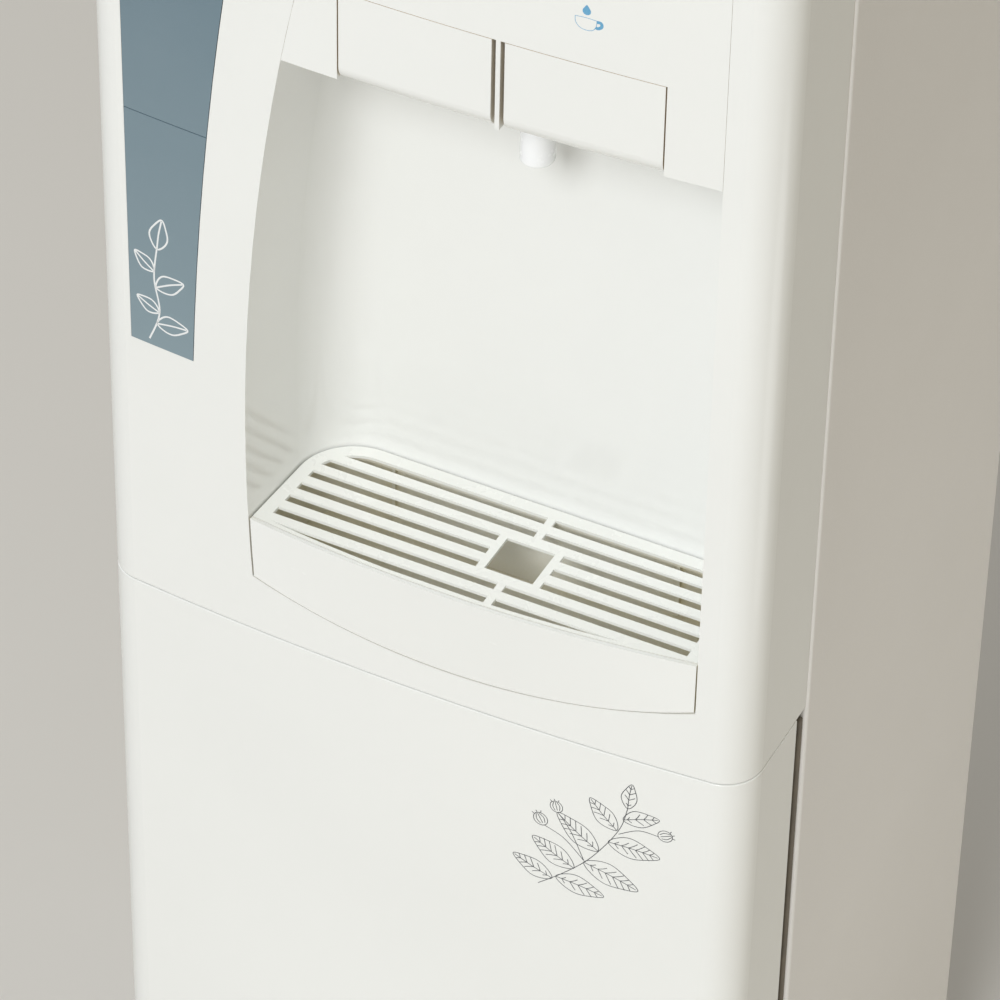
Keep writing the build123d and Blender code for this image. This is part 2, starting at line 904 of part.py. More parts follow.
def grip_form(grow):
    """Solid that fills the finger grip in the door's left edge."""
    with BuildPart() as form:
        with Locations((-body_width / 2, front_y + grip_set_back, grip_z)):
            Box(2 * (grip_depth + grow), grip_width + 2 * grow, grip_height + 2 * grow)
        fillet(form.edges().filter_by(Axis.Y).group_by(Axis.X)[-1], grip_round + grow)
    return form.part


grip_inside = grip_form(0)
grip_outside = grip_form(door_wall)


def door_core(back):
    """Solid that fills the door's skin, clear of the grip and the hinge bushes."""
    with BuildPart() as core:
        with BuildSketch(Plane.XY.offset(door_bottom_z + door_wall)):
            body_plan(door_wall, back)
            with Locations((hinge_x, hinge_y)):
                Circle(bush_radius, mode=Mode.SUBTRACT)
        extrude(amount=door_height - 2 * door_wall)
        add(grip_outside, mode=Mode.SUBTRACT)
    return core.part


door_hollow = door_core(door_back_y + door_wall)
door_filling = door_core(door_back_y - liner_wall)

with BuildPart() as door_outer:
    with BuildSketch(Plane.XY.offset(door_bottom_z)):
        body_plan(0, door_back_y)
    extrude(amount=door_height)
    fillet(door_outer.edges().group_by(Axis.Z)[-1].sort_by(Axis.Y)[0:5], edge_round)
    fillet(door_outer.edges().group_by(Axis.Z)[0].sort_by(Axis.Y)[0:5], edge_round)
    add(door_hollow, mode=Mode.SUBTRACT)
    add(grip_inside, mode=Mode.SUBTRACT)
    with BuildSketch(Plane.XY.offset(door_bottom_z)):
        with Locations((hinge_x, hinge_y)):
            Circle(bush_radius)
    extrude(amount=door_height, mode=Mode.SUBTRACT)
save(door_outer, "door_outer")

with BuildPart() as door_bushes:
    with Locations(
        (hinge_x, hinge_y, door_bottom_z), (hinge_x, hinge_y, door_top_z - bush_length)
    ):
        Cylinder(bush_radius, bush_length, align=(Align.CENTER, Align.CENTER, Align.MIN))
        Cylinder(
            hinge_pin_radius + running_gap,
            bush_length,
            align=(Align.CENTER, Align.CENTER, Align.MIN),
            mode=Mode.SUBTRACT,
        )
save(door_bushes, "door_bushes")

with BuildPart() as door_foam:
    add(door_filling)
save(door_foam, "door_foam")

plug_height = door_height - 2 * plug_margin
with BuildPart() as door_liner:
    with BuildSketch(facing(door_back_y)):
        with Locations((0, door_middle_z)):
            Rectangle(body_width - 2 * door_wall, door_height - 2 * door_wall)
    extrude(amount=liner_wall)
    with BuildSketch(facing(door_back_y + plug_depth)):
        with Locations((0, door_middle_z)):
            RectangleRounded(plug_width, plug_height, plug_corner_radius)
            RectangleRounded(
                plug_width - 2 * plug_rim,
                plug_height - 2 * plug_rim,
                plug_corner_radius - plug_rim / 2,
                mode=Mode.SUBTRACT,
            )
    extrude(amount=plug_depth)
save(door_liner, "door_liner")

with BuildPart() as door_gasket:
    with BuildSketch(facing(panel_front_y - seat_gap)):
        with Locations((0, door_middle_z)):
            RectangleRounded(
                body_width - 2 * gasket_side_inset,
                door_height - 2 * gasket_end_inset,
                gasket_corner_radius,
            )
            Rectangle(
                body_width - 2 * (gasket_side_inset + gasket_width),
                door_height - 2 * (gasket_end_inset + gasket_width),
                mode=Mode.SUBTRACT,
            )
    extrude(amount=panel_front_y - seat_gap - door_back_y)
save(door_gasket, "door_gasket")

# Upper front shell and its coloured band


def band_form(inset, outset, bottom, top):
    """Solid of the coloured band. Its right edge is an arc beside the niche."""
    skin = body_skin(outset, band_recess, bottom + inset, top - inset)
    with BuildPart() as form:
        with BuildSketch(facing(front_y + shell_side_depth / 2)):
            with Locations((band_margin + inset - body_width / 2, bottom)):
                Rectangle(body_width, top - bottom, align=(Align.MIN, Align.MIN))
            with Locations(
                (niche_x - band_edge_left + band_edge_radius, grille_z - band_edge_drop)
            ):
                Circle(band_edge_radius + inset, mode=Mode.SUBTRACT)
        extrude(amount=shell_side_depth)
        add(skin, mode=Mode.INTERSECT)
    return form


band_low_z = grille_z + band_bottom
band_split_z = grille_z + band_split
band_recess_form = band_form(0, band_recess, band_low_z, fascia_top_z)
niche_opening = niche_form(0, seam_z, fascia_top_z)

with BuildPart() as front_shell:
    with BuildSketch(Plane.XY.offset(seam_z)):
        body_plan(0, shell_back_y)
    extrude(amount=shell_top_z - seam_z)
    fillet(front_shell.edges().group_by(Axis.Z)[0].sort_by(Axis.Y)[0:5], edge_round)
    with BuildSketch(Plane.XY.offset(seam_z + shell_wall)):
        body_plan(shell_wall, shell_back_y + shell_wall)
    extrude(amount=shell_top_z - seam_z, mode=Mode.SUBTRACT)
    add(niche_opening, mode=Mode.SUBTRACT)
    add(band_recess_form.part, mode=Mode.SUBTRACT)
    with BuildSketch(Plane.XY.offset(seam_z)):
        with Locations((hinge_x, hinge_y)):
            Circle(hinge_pin_radius)
    extrude(amount=shell_wall, mode=Mode.SUBTRACT)
save(front_shell, "front_shell")

band_lower = band_form(band_gap / 2, band_proud, band_low_z, band_split_z)
save(band_lower, "band_lower")
band_upper = band_form(band_gap / 2, band_proud, band_split_z, fascia_top_z)
save(band_upper, "band_upper")

# Niche liner, with runners for the tray and a ceiling that carries the valves

niche_outside = niche_form(-liner_wall, seam_z, ceiling_top_z)
niche_inside = niche_form(0, seam_z, ceiling_z)
runner_clearance = niche_form(tray_gap - seat_gap, seam_z, ceiling_z)

with BuildPart() as tray_runners:
    with Locations((smile_x, niche_back_y - 2 * tray_gap, smile_low_z)):
        with GridLocations(runner_spread, 1, 2, 1):
            Box(
                runner_width,
                niche_depth - 2 * tray_gap - 2 * shell_wall,
                smile_drop,
                align=(Align.CENTER, Align.MAX, Align.CENTER),
            )
    add(niche_inside, mode=Mode.INTERSECT)
    add(runner_clearance, mode=Mode.SUBTRACT)

with BuildPart() as niche_liner:
    add(niche_outside)
    add(niche_inside, mode=Mode.SUBTRACT)
    with BuildSketch(Plane.XY.offset(seam_z)):
        body_plan(shell_wall, niche_back_y + niche_depth)
    extrude(amount=ceiling_top_z - seam_z, mode=Mode.INTERSECT)
    with Locations((paddle_x, front_y, ceiling_z)):
        Box(
            2 * (opening_half + cheek_width),
            2 * ceiling_front_depth,
            2 * ceiling_wall,
            mode=Mode.SUBTRACT,
        )
    with Locations((paddle_x, spout_y, ceiling_z)):
        Cylinder(spout_radius, 4 * ceiling_wall, mode=Mode.SUBTRACT)
    add(tray_runners.part)
save(niche_liner, "niche_liner")

# Fascia around the paddles

fascia_block = niche_form(fascia_gap, ceiling_z, fascia_top_z - fascia_gap)
fascia_skin = body_skin(0, shell_wall, ceiling_z, fascia_top_z)
cheek_offset = opening_half + cheek_width / 2
lock_x = paddle_x - lock_left
lamp_places = [(paddle_x + side * paddle_offset, lamp_z) for side in (-1, 1)]

with BuildPart() as fascia_cheeks:
    with BuildSketch(Plane.XY.offset(ceiling_z)):
        with Locations((paddle_x - cheek_offset, front_y), (paddle_x + cheek_offset, front_y)):
            Rectangle(cheek_width, 2 * cheek_depth)
        with Locations((paddle_x, front_y)):
            Rectangle(divider_width, 2 * cheek_depth)
        body_plan(0, shell_back_y, mode=Mode.INTERSECT)
    extrude(amount=opening_top_z - ceiling_z)

with BuildPart() as tap_fascia:
    add(fascia_block)
    add(fascia_skin, mode=Mode.INTERSECT)
    with Locations((paddle_x, front_y, ceiling_z)):
        Box(
            2 * opening_half,
            2 * niche_depth,
            2 * (opening_top_z - ceiling_z),
            mode=Mode.SUBTRACT,
        )
    add(fascia_cheeks.part)
    with Locations((paddle_x, pivot_y, pivot_z)):
        Cylinder(pivot_pin_radius, body_width, rotation=(0, 90, 0), mode=Mode.SUBTRACT)
    with BuildSketch(facing(front_y + 3 * shell_wall)):
        with Locations((lock_x + lock_travel / 2, lock_z)):
            Rectangle(
                lock_stem_width + lock_travel + 2 * seat_gap, lock_stem_height + 2 * seat_gap
            )
        with Locations(*lamp_places):
            Circle(lamp_radius)
    extrude(amount=4 * shell_wall, mode=Mode.SUBTRACT)
save(tap_fascia, "tap_fascia")

with BuildPart() as paddle_pin:
    with Locations((paddle_x, pivot_y, pivot_z)):
        Cylinder(pivot_pin_radius, 2 * (opening_half + cheek_width), rotation=(0, 90, 0))
save(paddle_pin, "paddle_pin")

with BuildPart() as indicator_lamps:
    for x, z in lamp_places:
        with BuildSketch(facing(front_at(x) + lamp_length)):
            with Locations((x, z)):
                Circle(lamp_radius)
        extrude(amount=lamp_length + lamp_radius / 4)
save(indicator_lamps, "indicator_lamps")

lock_front_y = front_at(lock_x) - seat_gap
keeper_y = front_at(lock_x) + shell_wall + seat_gap
with BuildPart() as lock_slider:
    with BuildSketch(facing(lock_front_y)):
        with Locations((lock_x, lock_z)):
            RectangleRounded(lock_width, lock_height, lock_height / 4)
    extrude(amount=lock_thickness)
    with BuildSketch(facing(lock_front_y - lock_thickness)):
        with Locations((lock_x, lock_z)):
            with GridLocations(4 * lock_groove, 1, 3, 1):
                Rectangle(lock_groove, lock_height / 2)
    extrude(amount=-lock_groove, mode=Mode.SUBTRACT)
    with BuildSketch(facing(keeper_y)):
        with Locations((lock_x, lock_z)):
            Rectangle(lock_stem_width, lock_stem_height)
    extrude(amount=keeper_y - lock_front_y)
    with BuildSketch(facing(keeper_y + lock_thickness)):
        with Locations((lock_x, lock_z)):
            Rectangle(lock_width, lock_height)
    extrude(amount=lock_thickness)
save(lock_slider, "lock_slider")

# Push paddles


def paddle_form(middle_x, inset):
    """Block of one paddle. Its face follows the body's bow and its chin is round."""
    with BuildPart() as form:
        with BuildSketch(Plane.XY.offset(paddle_bottom_z + inset)):
            with Locations((middle_x, front_y)):
                Rectangle(paddle_width - 2 * inset, 2 * (paddle_depth + inset))
            body_plan(inset, shell_back_y, mode=Mode.INTERSECT)
        extrude(amount=paddle_height - 2 * inset)
        chin = form.edges().filter_by(GeomType.CIRCLE).sort_by(Axis.Z)[0]
        fillet(chin, paddle_chin_radius - inset)
    return form.part


def paddle(side, valve_x):
    """Hollow paddle with bores for the pin and a rib that pushes the valve."""
    middle_x = paddle_x + side * paddle_offset
    block = paddle_form(middle_x, 0)
    hollow = paddle_form(middle_x, paddle_wall)
    with BuildPart() as piece:
        add(block)
        add(hollow, mode=Mode.SUBTRACT)
        with Locations((valve_x, front_y + paddle_depth, valve_z)):
            Box(
                pusher_width,
                front_y + paddle_depth - front_at(valve_x) - paddle_wall / 2,
                pusher_height,
                align=(Align.CENTER, Align.MAX, Align.CENTER),
            )
        with Locations((middle_x, pivot_y, pivot_z)):
            Cylinder(
                pivot_pin_radius + running_gap,
                paddle_width,
                rotation=(0, 90, 0),
                mode=Mode.SUBTRACT,
            )
    return piece


hot_paddle = paddle(-1, hot_valve_x)
save(hot_paddle, "hot_paddle")
cold_paddle = paddle(1, cold_valve_x)
save(cold_paddle, "cold_paddle")

# Valves, manifold and spout

valve_middle_y = (valve_front_y + valve_back_y) / 2
with BuildPart() as valve_bodies:
    with Locations((hot_valve_x, valve_middle_y, valve_z), (cold_valve_x, valve_middle_y, valve_z)):
        Box(valve_width, valve_length, valve_width)
    fillet(valve_bodies.edges().filter_by(Axis.Y), valve_round)
    with BuildSketch(facing(valve_back_y + barb_length)):
        with Locations((hot_valve_x, valve_z), (cold_valve_x, valve_z)):
            Circle(barb_radius)
    extrude(amount=barb_length)
    with BuildSketch(facing(valve_back_y + barb_length)):
        with Locations((hot_valve_x, valve_z), (cold_valve_x, valve_z)):
            Circle(barb_bore)
    extrude(amount=barb_length + valve_length / 4, mode=Mode.SUBTRACT)
    with BuildSketch(facing(valve_front_y + valve_bore_length)):
        with Locations((hot_valve_x, valve_z), (cold_valve_x, valve_z)):
            Circle(plunger_radius + running_gap)
    extrude(amount=valve_bore_length, mode=Mode.SUBTRACT)
    with Locations((paddle_x, spout_y, valve_z)):
        Cylinder(manifold_bore, valve_spread, rotation=(0, 90, 0), mode=Mode.SUBTRACT)
save(valve_bodies, "valve_bodies")


def plunger(valve_x):
    """Rod with a domed head that the paddle's rib pushes."""
    tip_y = front_y + paddle_depth + seat_gap
    with BuildPart() as piece:
        with BuildSketch(facing(tip_y + plunger_length)):
            with Locations((valve_x, valve_z)):
                Circle(plunger_radius)
        extrude(amount=plunger_length - plunger_head / 2)
        with BuildSketch(facing(tip_y + plunger_head)):
            with Locations((valve_x, valve_z)):
                Circle(plunger_head_radius)
        extrude(amount=plunger_head)
        fillet(piece.edges().group_by(Axis.Y)[0], plunger_head / 2)
    return piece


hot_plunger = plunger(hot_valve_x)
save(hot_plunger, "hot_plunger")
cold_plunger = plunger(cold_valve_x)
save(cold_plunger, "cold_plunger")

spout_top_z = ceiling_top_z + spout_flange
with BuildPart() as valve_manifold:
    with Locations((paddle_x, spout_y, valve_z)):
        Cylinder(manifold_radius, valve_spread - valve_width, rotation=(0, 90, 0))
    with Locations((paddle_x, spout_y, spout_top_z)):
        Cylinder(
            manifold_radius,
            valve_z - spout_top_z,
            align=(Align.CENTER, Align.CENTER, Align.MIN),
        )
        Cylinder(
            manifold_bore,
            valve_z - spout_top_z,
            align=(Align.CENTER, Align.CENTER, Align.MIN),
            mode=Mode.SUBTRACT,
        )
    with Locations((paddle_x, spout_y, valve_z)):
        Cylinder(manifold_bore, valve_spread, rotation=(0, 90, 0), mode=Mode.SUBTRACT)
save(valve_manifold, "valve_manifold")

with BuildPart() as spout_nozzle:
    with Locations((paddle_x, spout_y, spout_top_z)):
        Cylinder(
            spout_radius,
            spout_top_z - spout_tip_z,
            align=(Align.CENTER, Align.CENTER, Align.MAX),
        )
        Cylinder(
            spout_flange_radius, spout_flange, align=(Align.CENTER, Align.CENTER, Align.MAX)
        )
    fillet(spout_nozzle.edges().group_by(Axis.Z)[0], (spout_radius - spout_bore) / 2)
    with Locations((paddle_x, spout_y, spout_top_z)):
        Cylinder(
            spout_bore,
            spout_top_z - spout_tip_z,
            align=(Align.CENTER, Align.CENTER, Align.MAX),
            mode=Mode.SUBTRACT,
        )
save(spout_nozzle, "spout_nozzle")

# Drip tray and grille

ledge_z = grille_z - grille_thickness - seat_gap
tray_side_inset = tray_gap + tray_wall
tray_outside = tray_form(tray_gap, 0, smile_low_z, grille_z)
tray_inside = tray_form(tray_side_inset, tray_wall, smile_low_z, grille_z)
tray_ledge_outside = tray_form(tray_side_inset, tray_wall, ledge_z - tray_ledge_height, ledge_z)
tray_ledge_inside = tray_form(
    tray_side_inset + tray_ledge, tray_wall + tray_ledge, ledge_z - tray_ledge_height, ledge_z
)
grille_seat = tray_form(0, tray_wall, ledge_z, grille_z)

with BuildPart() as tray_ledge_ring:
    add(tray_ledge_outside)
    add(tray_ledge_inside, mode=Mode.SUBTRACT)

with BuildPart() as drip_tray:
    add(tray_outside)
    add(tray_inside, mode=Mode.SUBTRACT)
    add(tray_ledge_ring.part)
    add(grille_seat, mode=Mode.SUBTRACT)
    with Locations((niche_x - tray_rib_left, niche_back_y - tray_side_inset, ledge_z)):
        with GridLocations(tray_rib_spread, 1, 2, 1):
            Box(
                tray_rib_width,
                tray_rib_depth,
                tray_rib_height,
                align=(Align.CENTER, Align.MAX, Align.MAX),
            )
save(drip_tray, "drip_tray")

grille_side_inset = tray_gap
grille_front_inset = tray_wall + grille_gap
grille_bottom_z = grille_z - grille_thickness
grille_plate = tray_form(grille_side_inset, grille_front_inset, grille_bottom_z, grille_z)
slot_zone = tray_form(
    grille_side_inset + grille_rim_side,
    grille_front_inset + grille_rim_front,
    grille_bottom_z,
    grille_z,
)

with BuildPart() as grille_slots:
    with BuildSketch(Plane.XY.offset(grille_bottom_z)):
        with Locations((niche_x, window_y)):
            with GridLocations(1, slot_pitch, 1, slot_rows):
                Rectangle(body_width, slot_width)
            Rectangle(grille_bar, niche_depth, mode=Mode.SUBTRACT)
            Rectangle(
                window_width + 2 * grille_bar, window_length + 2 * grille_bar, mode=Mode.SUBTRACT
            )
            Rectangle(window_width, window_length)
    extrude(amount=grille_thickness)
    add(slot_zone, mode=Mode.INTERSECT)

with BuildPart() as drip_grille:
    add(grille_plate)
    add(grille_slots.part, mode=Mode.SUBTRACT)
save(drip_grille, "drip_grille")

# Cold tank with its cooling coil and foam

outlet_z = tank_bottom_z + outlet_rise
outlet_angle = math.degrees(math.atan2(tube_y, cold_valve_x))
outlet_plane = Plane(
    origin=(0, 0, outlet_z),
    z_dir=(cold_valve_x, tube_y, 0),
)
with BuildPart() as cold_tank:
    with Locations((0, 0, tank_bottom_z)):
        Cylinder(tank_radius, tank_height, align=(Align.CENTER, Align.CENTER, Align.MIN))
    with Locations((0, 0, tank_top_z)):
        Cylinder(neck_radius, neck_height, align=(Align.CENTER, Align.CENTER, Align.MIN))
    with BuildSketch(outlet_plane):
        Circle(barb_radius)
    extrude(amount=tank_radius + outlet_length)
    with Locations((0, 0, tank_bottom_z + tank_wall)):
        Cylinder(
            tank_radius - tank_wall,
            tank_height - 2 * tank_wall,
            align=(Align.CENTER, Align.CENTER, Align.MIN),
            mode=Mode.SUBTRACT,
        )
    with Locations((0, 0, neck_top_z)):
        Cylinder(
            neck_radius - tank_wall,
            neck_height + 2 * tank_wall,
            align=(Align.CENTER, Align.CENTER, Align.MAX),
            mode=Mode.SUBTRACT,
        )
    with BuildSketch(outlet_plane):
        Circle(barb_bore)
    extrude(amount=tank_radius + outlet_length, mode=Mode.SUBTRACT)
save(cold_tank, "cold_tank")

coil_path_radius = tank_radius + coil_radius + seat_gap
with BuildPart() as evaporator_coil:
    for turn in range(coil_turns):
        turn_z = tank_bottom_z + coil_start + turn * coil_pitch
        with BuildLine(Plane.XY.offset(turn_z)) as ring:
            CenterArc((0, 0), coil_path_radius, coil_open_angle / 2, 360 - coil_open_angle)
        with BuildSketch(Plane(origin=ring.line @ 0, z_dir=ring.line % 0)):
            Circle(coil_radius)
        sweep()
        for end in (0, 1):
            with Locations(ring.line @ end):
                Sphere(coil_radius)
        if turn < coil_turns - 1:
            with Locations(ring.line @ (turn % 2)):
                Cylinder(
                    coil_radius, coil_pitch, align=(Align.CENTER, Align.CENTER, Align.MIN)
                )
save(evaporator_coil, "evaporator_coil")

with BuildPart() as cold_tank_foam:
    with Locations((0, 0, deck_z)):
        Cylinder(
            foam_radius,
            tank_top_z + foam_cap - deck_z,
            align=(Align.CENTER, Align.CENTER, Align.MIN),
        )
    with Locations((0, 0, tank_bottom_z)):
        Cylinder(
            foam_bore_radius,
            tank_height,
            align=(Align.CENTER, Align.CENTER, Align.MIN),
            mode=Mode.SUBTRACT,
        )
    with Locations((0, 0, tank_top_z)):
        Cylinder(
            neck_radius,
            foam_cap,
            align=(Align.CENTER, Align.CENTER, Align.MIN),
            mode=Mode.SUBTRACT,
        )
    with BuildSketch(outlet_plane):
        Circle(tube_radius)
    extrude(amount=2 * foam_radius, mode=Mode.SUBTRACT)
save(cold_tank_foam, "cold_tank_foam")


def water_tube(points):
    """Soft tube along straight runs with round bends, pushed over a barb at each end."""
    with BuildPart() as tube:
        with BuildLine() as path:
            FilletPolyline(*points, radius=tube_bend)
        with BuildSketch(Plane(origin=path.line @ 0, z_dir=path.line % 0)):
            Circle(tube_radius)
            Circle(barb_radius, mode=Mode.SUBTRACT)
        sweep()
    return tube


outlet_distance = math.hypot(cold_valve_x, tube_y)
outlet_share = (tank_radius + tank_wall) / outlet_distance
cold_tube = water_tube(
    [
        (cold_valve_x, valve_back_y, valve_z),
        (cold_valve_x, tube_y, valve_z),
        (cold_valve_x, tube_y, outlet_z),
        (cold_valve_x * outlet_share, tube_y * outlet_share, outlet_z),
    ]
)
save(cold_tube, "cold_tube")

# Hot tank with its jacket, heater, tube and drain

hot_outlet_y = hot_tank_y - hot_outlet_offset
heater_flange_radius = heater_spread / 2 + heater_radius + heater_rim
hot_stub_top_z = hot_tank_top_z + outlet_length
hot_pipe_z = hot_tank_top_z + jacket_wall
with BuildPart() as hot_tank:
    with Locations((hot_tank_x, hot_tank_y, hot_tank_z)):
        Cylinder(hot_tank_radius, hot_tank_height, align=(Align.CENTER, Align.CENTER, Align.MIN))
    with Locations((hot_tank_x, hot_outlet_y, hot_stub_top_z)):
        Cylinder(
            barb_radius,
            outlet_length + tank_wall,
            align=(Align.CENTER, Align.CENTER, Align.MAX),
        )
    with Locations((hot_tank_x, hot_tank_y, hot_tank_z + tank_wall)):
        Cylinder(
            hot_tank_radius - tank_wall,
            hot_tank_height - 2 * tank_wall,
            align=(Align.CENTER, Align.CENTER, Align.MIN),
            mode=Mode.SUBTRACT,
        )
    with Locations((hot_tank_x, hot_outlet_y, hot_stub_top_z)):
        Cylinder(
            barb_bore,
            outlet_length + 2 * tank_wall,
            align=(Align.CENTER, Align.CENTER, Align.MAX),
            mode=Mode.SUBTRACT,
        )
    with Locations((hot_tank_x, hot_tank_y, hot_tank_top_z)):
        Cylinder(heater_spread / 2 + heater_radius, 4 * tank_wall, mode=Mode.SUBTRACT)
    with BuildSketch(facing(hot_tank_y + 2 * hot_tank_radius)):
        with Locations((drain_x, drain_z)):
            Circle(drain_bore)
    extrude(amount=2 * hot_tank_radius, mode=Mode.SUBTRACT)
save(hot_tank, "hot_tank")

with BuildPart() as heating_element:
    with Locations((hot_tank_x, hot_tank_y, hot_tank_top_z)):
        Cylinder(
            heater_flange_radius, heater_flange, align=(Align.CENTER, Align.CENTER, Align.MIN)
        )
        with GridLocations(heater_spread, 1, 2, 1):
            Cylinder(
                heater_radius, heater_length, align=(Align.CENTER, Align.CENTER, Align.MAX)
            )
            Box(
                terminal_width,
                tank_wall,
                terminal_height,
                align=(Align.CENTER, Align.CENTER, Align.MIN),
            )
    with BuildLine(facing(hot_tank_y)) as bend:
        CenterArc((hot_tank_x, hot_tank_top_z - heater_length), heater_spread / 2, 180, 180)
    with BuildSketch(Plane(origin=bend.line @ 0, z_dir=bend.line % 0)):
        Circle(heater_radius)
    sweep()
save(heating_element, "heating_element")

with BuildPart() as drain_spout:
    with BuildSketch(facing(rear_y + drain_reach)):
        with Locations((drain_x, drain_z)):
            Circle(drain_radius)
            Circle(drain_bore, mode=Mode.SUBTRACT)
    extrude(amount=rear_y + drain_reach - hot_tank_y)
    with Locations((hot_tank_x, hot_tank_y, hot_tank_z)):
        Cylinder(
            hot_tank_radius,
            hot_tank_height,
            align=(Align.CENTER, Align.CENTER, Align.MIN),
            mode=Mode.SUBTRACT,
        )
save(drain_spout, "drain_spout")

with BuildPart() as hot_tank_jacket:
    with Locations((hot_tank_x, hot_tank_y, deck_z)):
        Cylinder(
            hot_tank_radius + jacket_wall,
            hot_pipe_z - deck_z,
            align=(Align.CENTER, Align.CENTER, Align.MIN),
        )
    with Locations((hot_tank_x, hot_tank_y, hot_tank_z)):
        Cylinder(
            hot_tank_radius,
            hot_tank_height,
            align=(Align.CENTER, Align.CENTER, Align.MIN),
            mode=Mode.SUBTRACT,
        )
    with Locations((hot_tank_x, hot_tank_y, hot_tank_top_z)):
        Cylinder(
            heater_flange_radius,
            jacket_wall,
            align=(Align.CENTER, Align.CENTER, Align.MIN),
            mode=Mode.SUBTRACT,
        )
    with Locations((hot_tank_x, hot_outlet_y, hot_tank_top_z)):
        Cylinder(
            barb_radius,
            jacket_wall,
            align=(Align.CENTER, Align.CENTER, Align.MIN),
            mode=Mode.SUBTRACT,
        )
    with BuildSketch(facing(rear_y)):
        with Locations((drain_x, drain_z)):
            Circle(drain_radius)
    extrude(amount=rear_y - hot_tank_y, mode=Mode.SUBTRACT)
save(hot_tank_jacket, "hot_tank_jacket")

hot_tube = water_tube(
    [
        (hot_tank_x, hot_outlet_y, hot_pipe_z),
        (hot_tank_x, hot_outlet_y, hot_pipe_z + hot_pipe_rise),
        (hot_tank_x, tube_y, hot_pipe_z + hot_pipe_rise),
        (hot_tank_x, tube_y, valve_z),
        (hot_valve_x, tube_y, valve_z),
        (hot_valve_x, valve_back_y, valve_z),
    ]
)
save(hot_tube, "hot_tube")

drain_end_y = rear_y + drain_reach
cap_radius = drain_radius + running_gap + cap_wall
with BuildPart() as drain_cap:
    with BuildSketch(facing(drain_end_y + cap_wall)):
        with Locations((drain_x, drain_z)):
            Circle(cap_radius)
            with PolarLocations(cap_radius, cap_flutes):
                Circle(cap_flute_radius, mode=Mode.SUBTRACT)
    extrude(amount=cap_length)
    with BuildSketch(facing(drain_end_y + seat_gap)):
        with Locations((drain_x, drain_z)):
            Circle(drain_radius + running_gap)
    extrude(amount=cap_length, mode=Mode.SUBTRACT)
save(drain_cap, "drain_cap")

# Top cover and bottle seat

with BuildPart() as top_cover:
    with BuildSketch(Plane.XY.offset(shell_top_z)):
        body_plan(-panel_proud, rear_y)
    extrude(amount=cover_height)
    fillet(top_cover.edges().group_by(Axis.Z)[-1], cover_round)
    with BuildSketch(Plane.XY.offset(shell_top_z)):
        body_plan(shell_wall - panel_proud, rear_y - shell_wall)
    extrude(amount=cover_height - cover_round, mode=Mode.SUBTRACT)
    with Locations((0, 0, cover_top_z)):
        Cylinder(
            well_radius,
            well_depth,
            align=(Align.CENTER, Align.CENTER, Align.MAX),
            mode=Mode.SUBTRACT,
        )
    with Locations((0, 0, cover_top_z)):
        Cylinder(
            well_hole_radius,
            cover_height,
            align=(Align.CENTER, Align.CENTER, Align.MAX),
            mode=Mode.SUBTRACT,
        )
    fillet(
        top_cover.edges().filter_by(GeomType.CIRCLE).filter_by_position(
            Axis.Z, cover_top_z, cover_top_z
        ),
        well_depth / 3,
    )
save(top_cover, "top_cover")

collar_neck_radius = neck_radius - tank_wall - collar_neck_gap
collar_outer_radius = well_radius - collar_edge_gap
collar_neck_z = neck_top_z - collar_neck_dip
collar_top_z = collar_z + collar_flange
with BuildPart() as bottle_collar:
    with BuildSketch(Plane.XZ):
        with BuildLine():
            Polyline(
                (collar_outer_radius, collar_z),
                (collar_outer_radius, collar_top_z),
                (collar_mouth_radius + collar_rim_width, collar_top_z),
                (collar_mouth_radius + collar_rim_width, overall_height),
                (collar_mouth_radius, overall_height),
                (collar_mouth_radius, collar_top_z),
                (collar_neck_radius - collar_wall, collar_top_z - collar_slope_depth),
                (collar_neck_radius - collar_wall, collar_neck_z),
                (collar_neck_radius, collar_neck_z),
                (collar_neck_radius, collar_z - collar_slope_depth),
                (collar_mouth_radius + collar_wall, collar_z),
                close=True,
            )
        make_face()
    revolve(axis=Axis.Z)
    fillet(bottle_collar.edges().group_by(Axis.Z)[-1], collar_rim_width / 3)
save(bottle_collar, "bottle_collar")

with BuildPart() as collar_seal:
    with Locations((0, 0, collar_z)):
        Cylinder(
            seal_outer_radius, seal_thickness, align=(Align.CENTER, Align.CENTER, Align.MAX)
        )
        Cylinder(
            seal_inner_radius,
            seal_thickness,
            align=(Align.CENTER, Align.CENTER, Align.MAX),
            mode=Mode.SUBTRACT,
        )
save(collar_seal, "collar_seal")

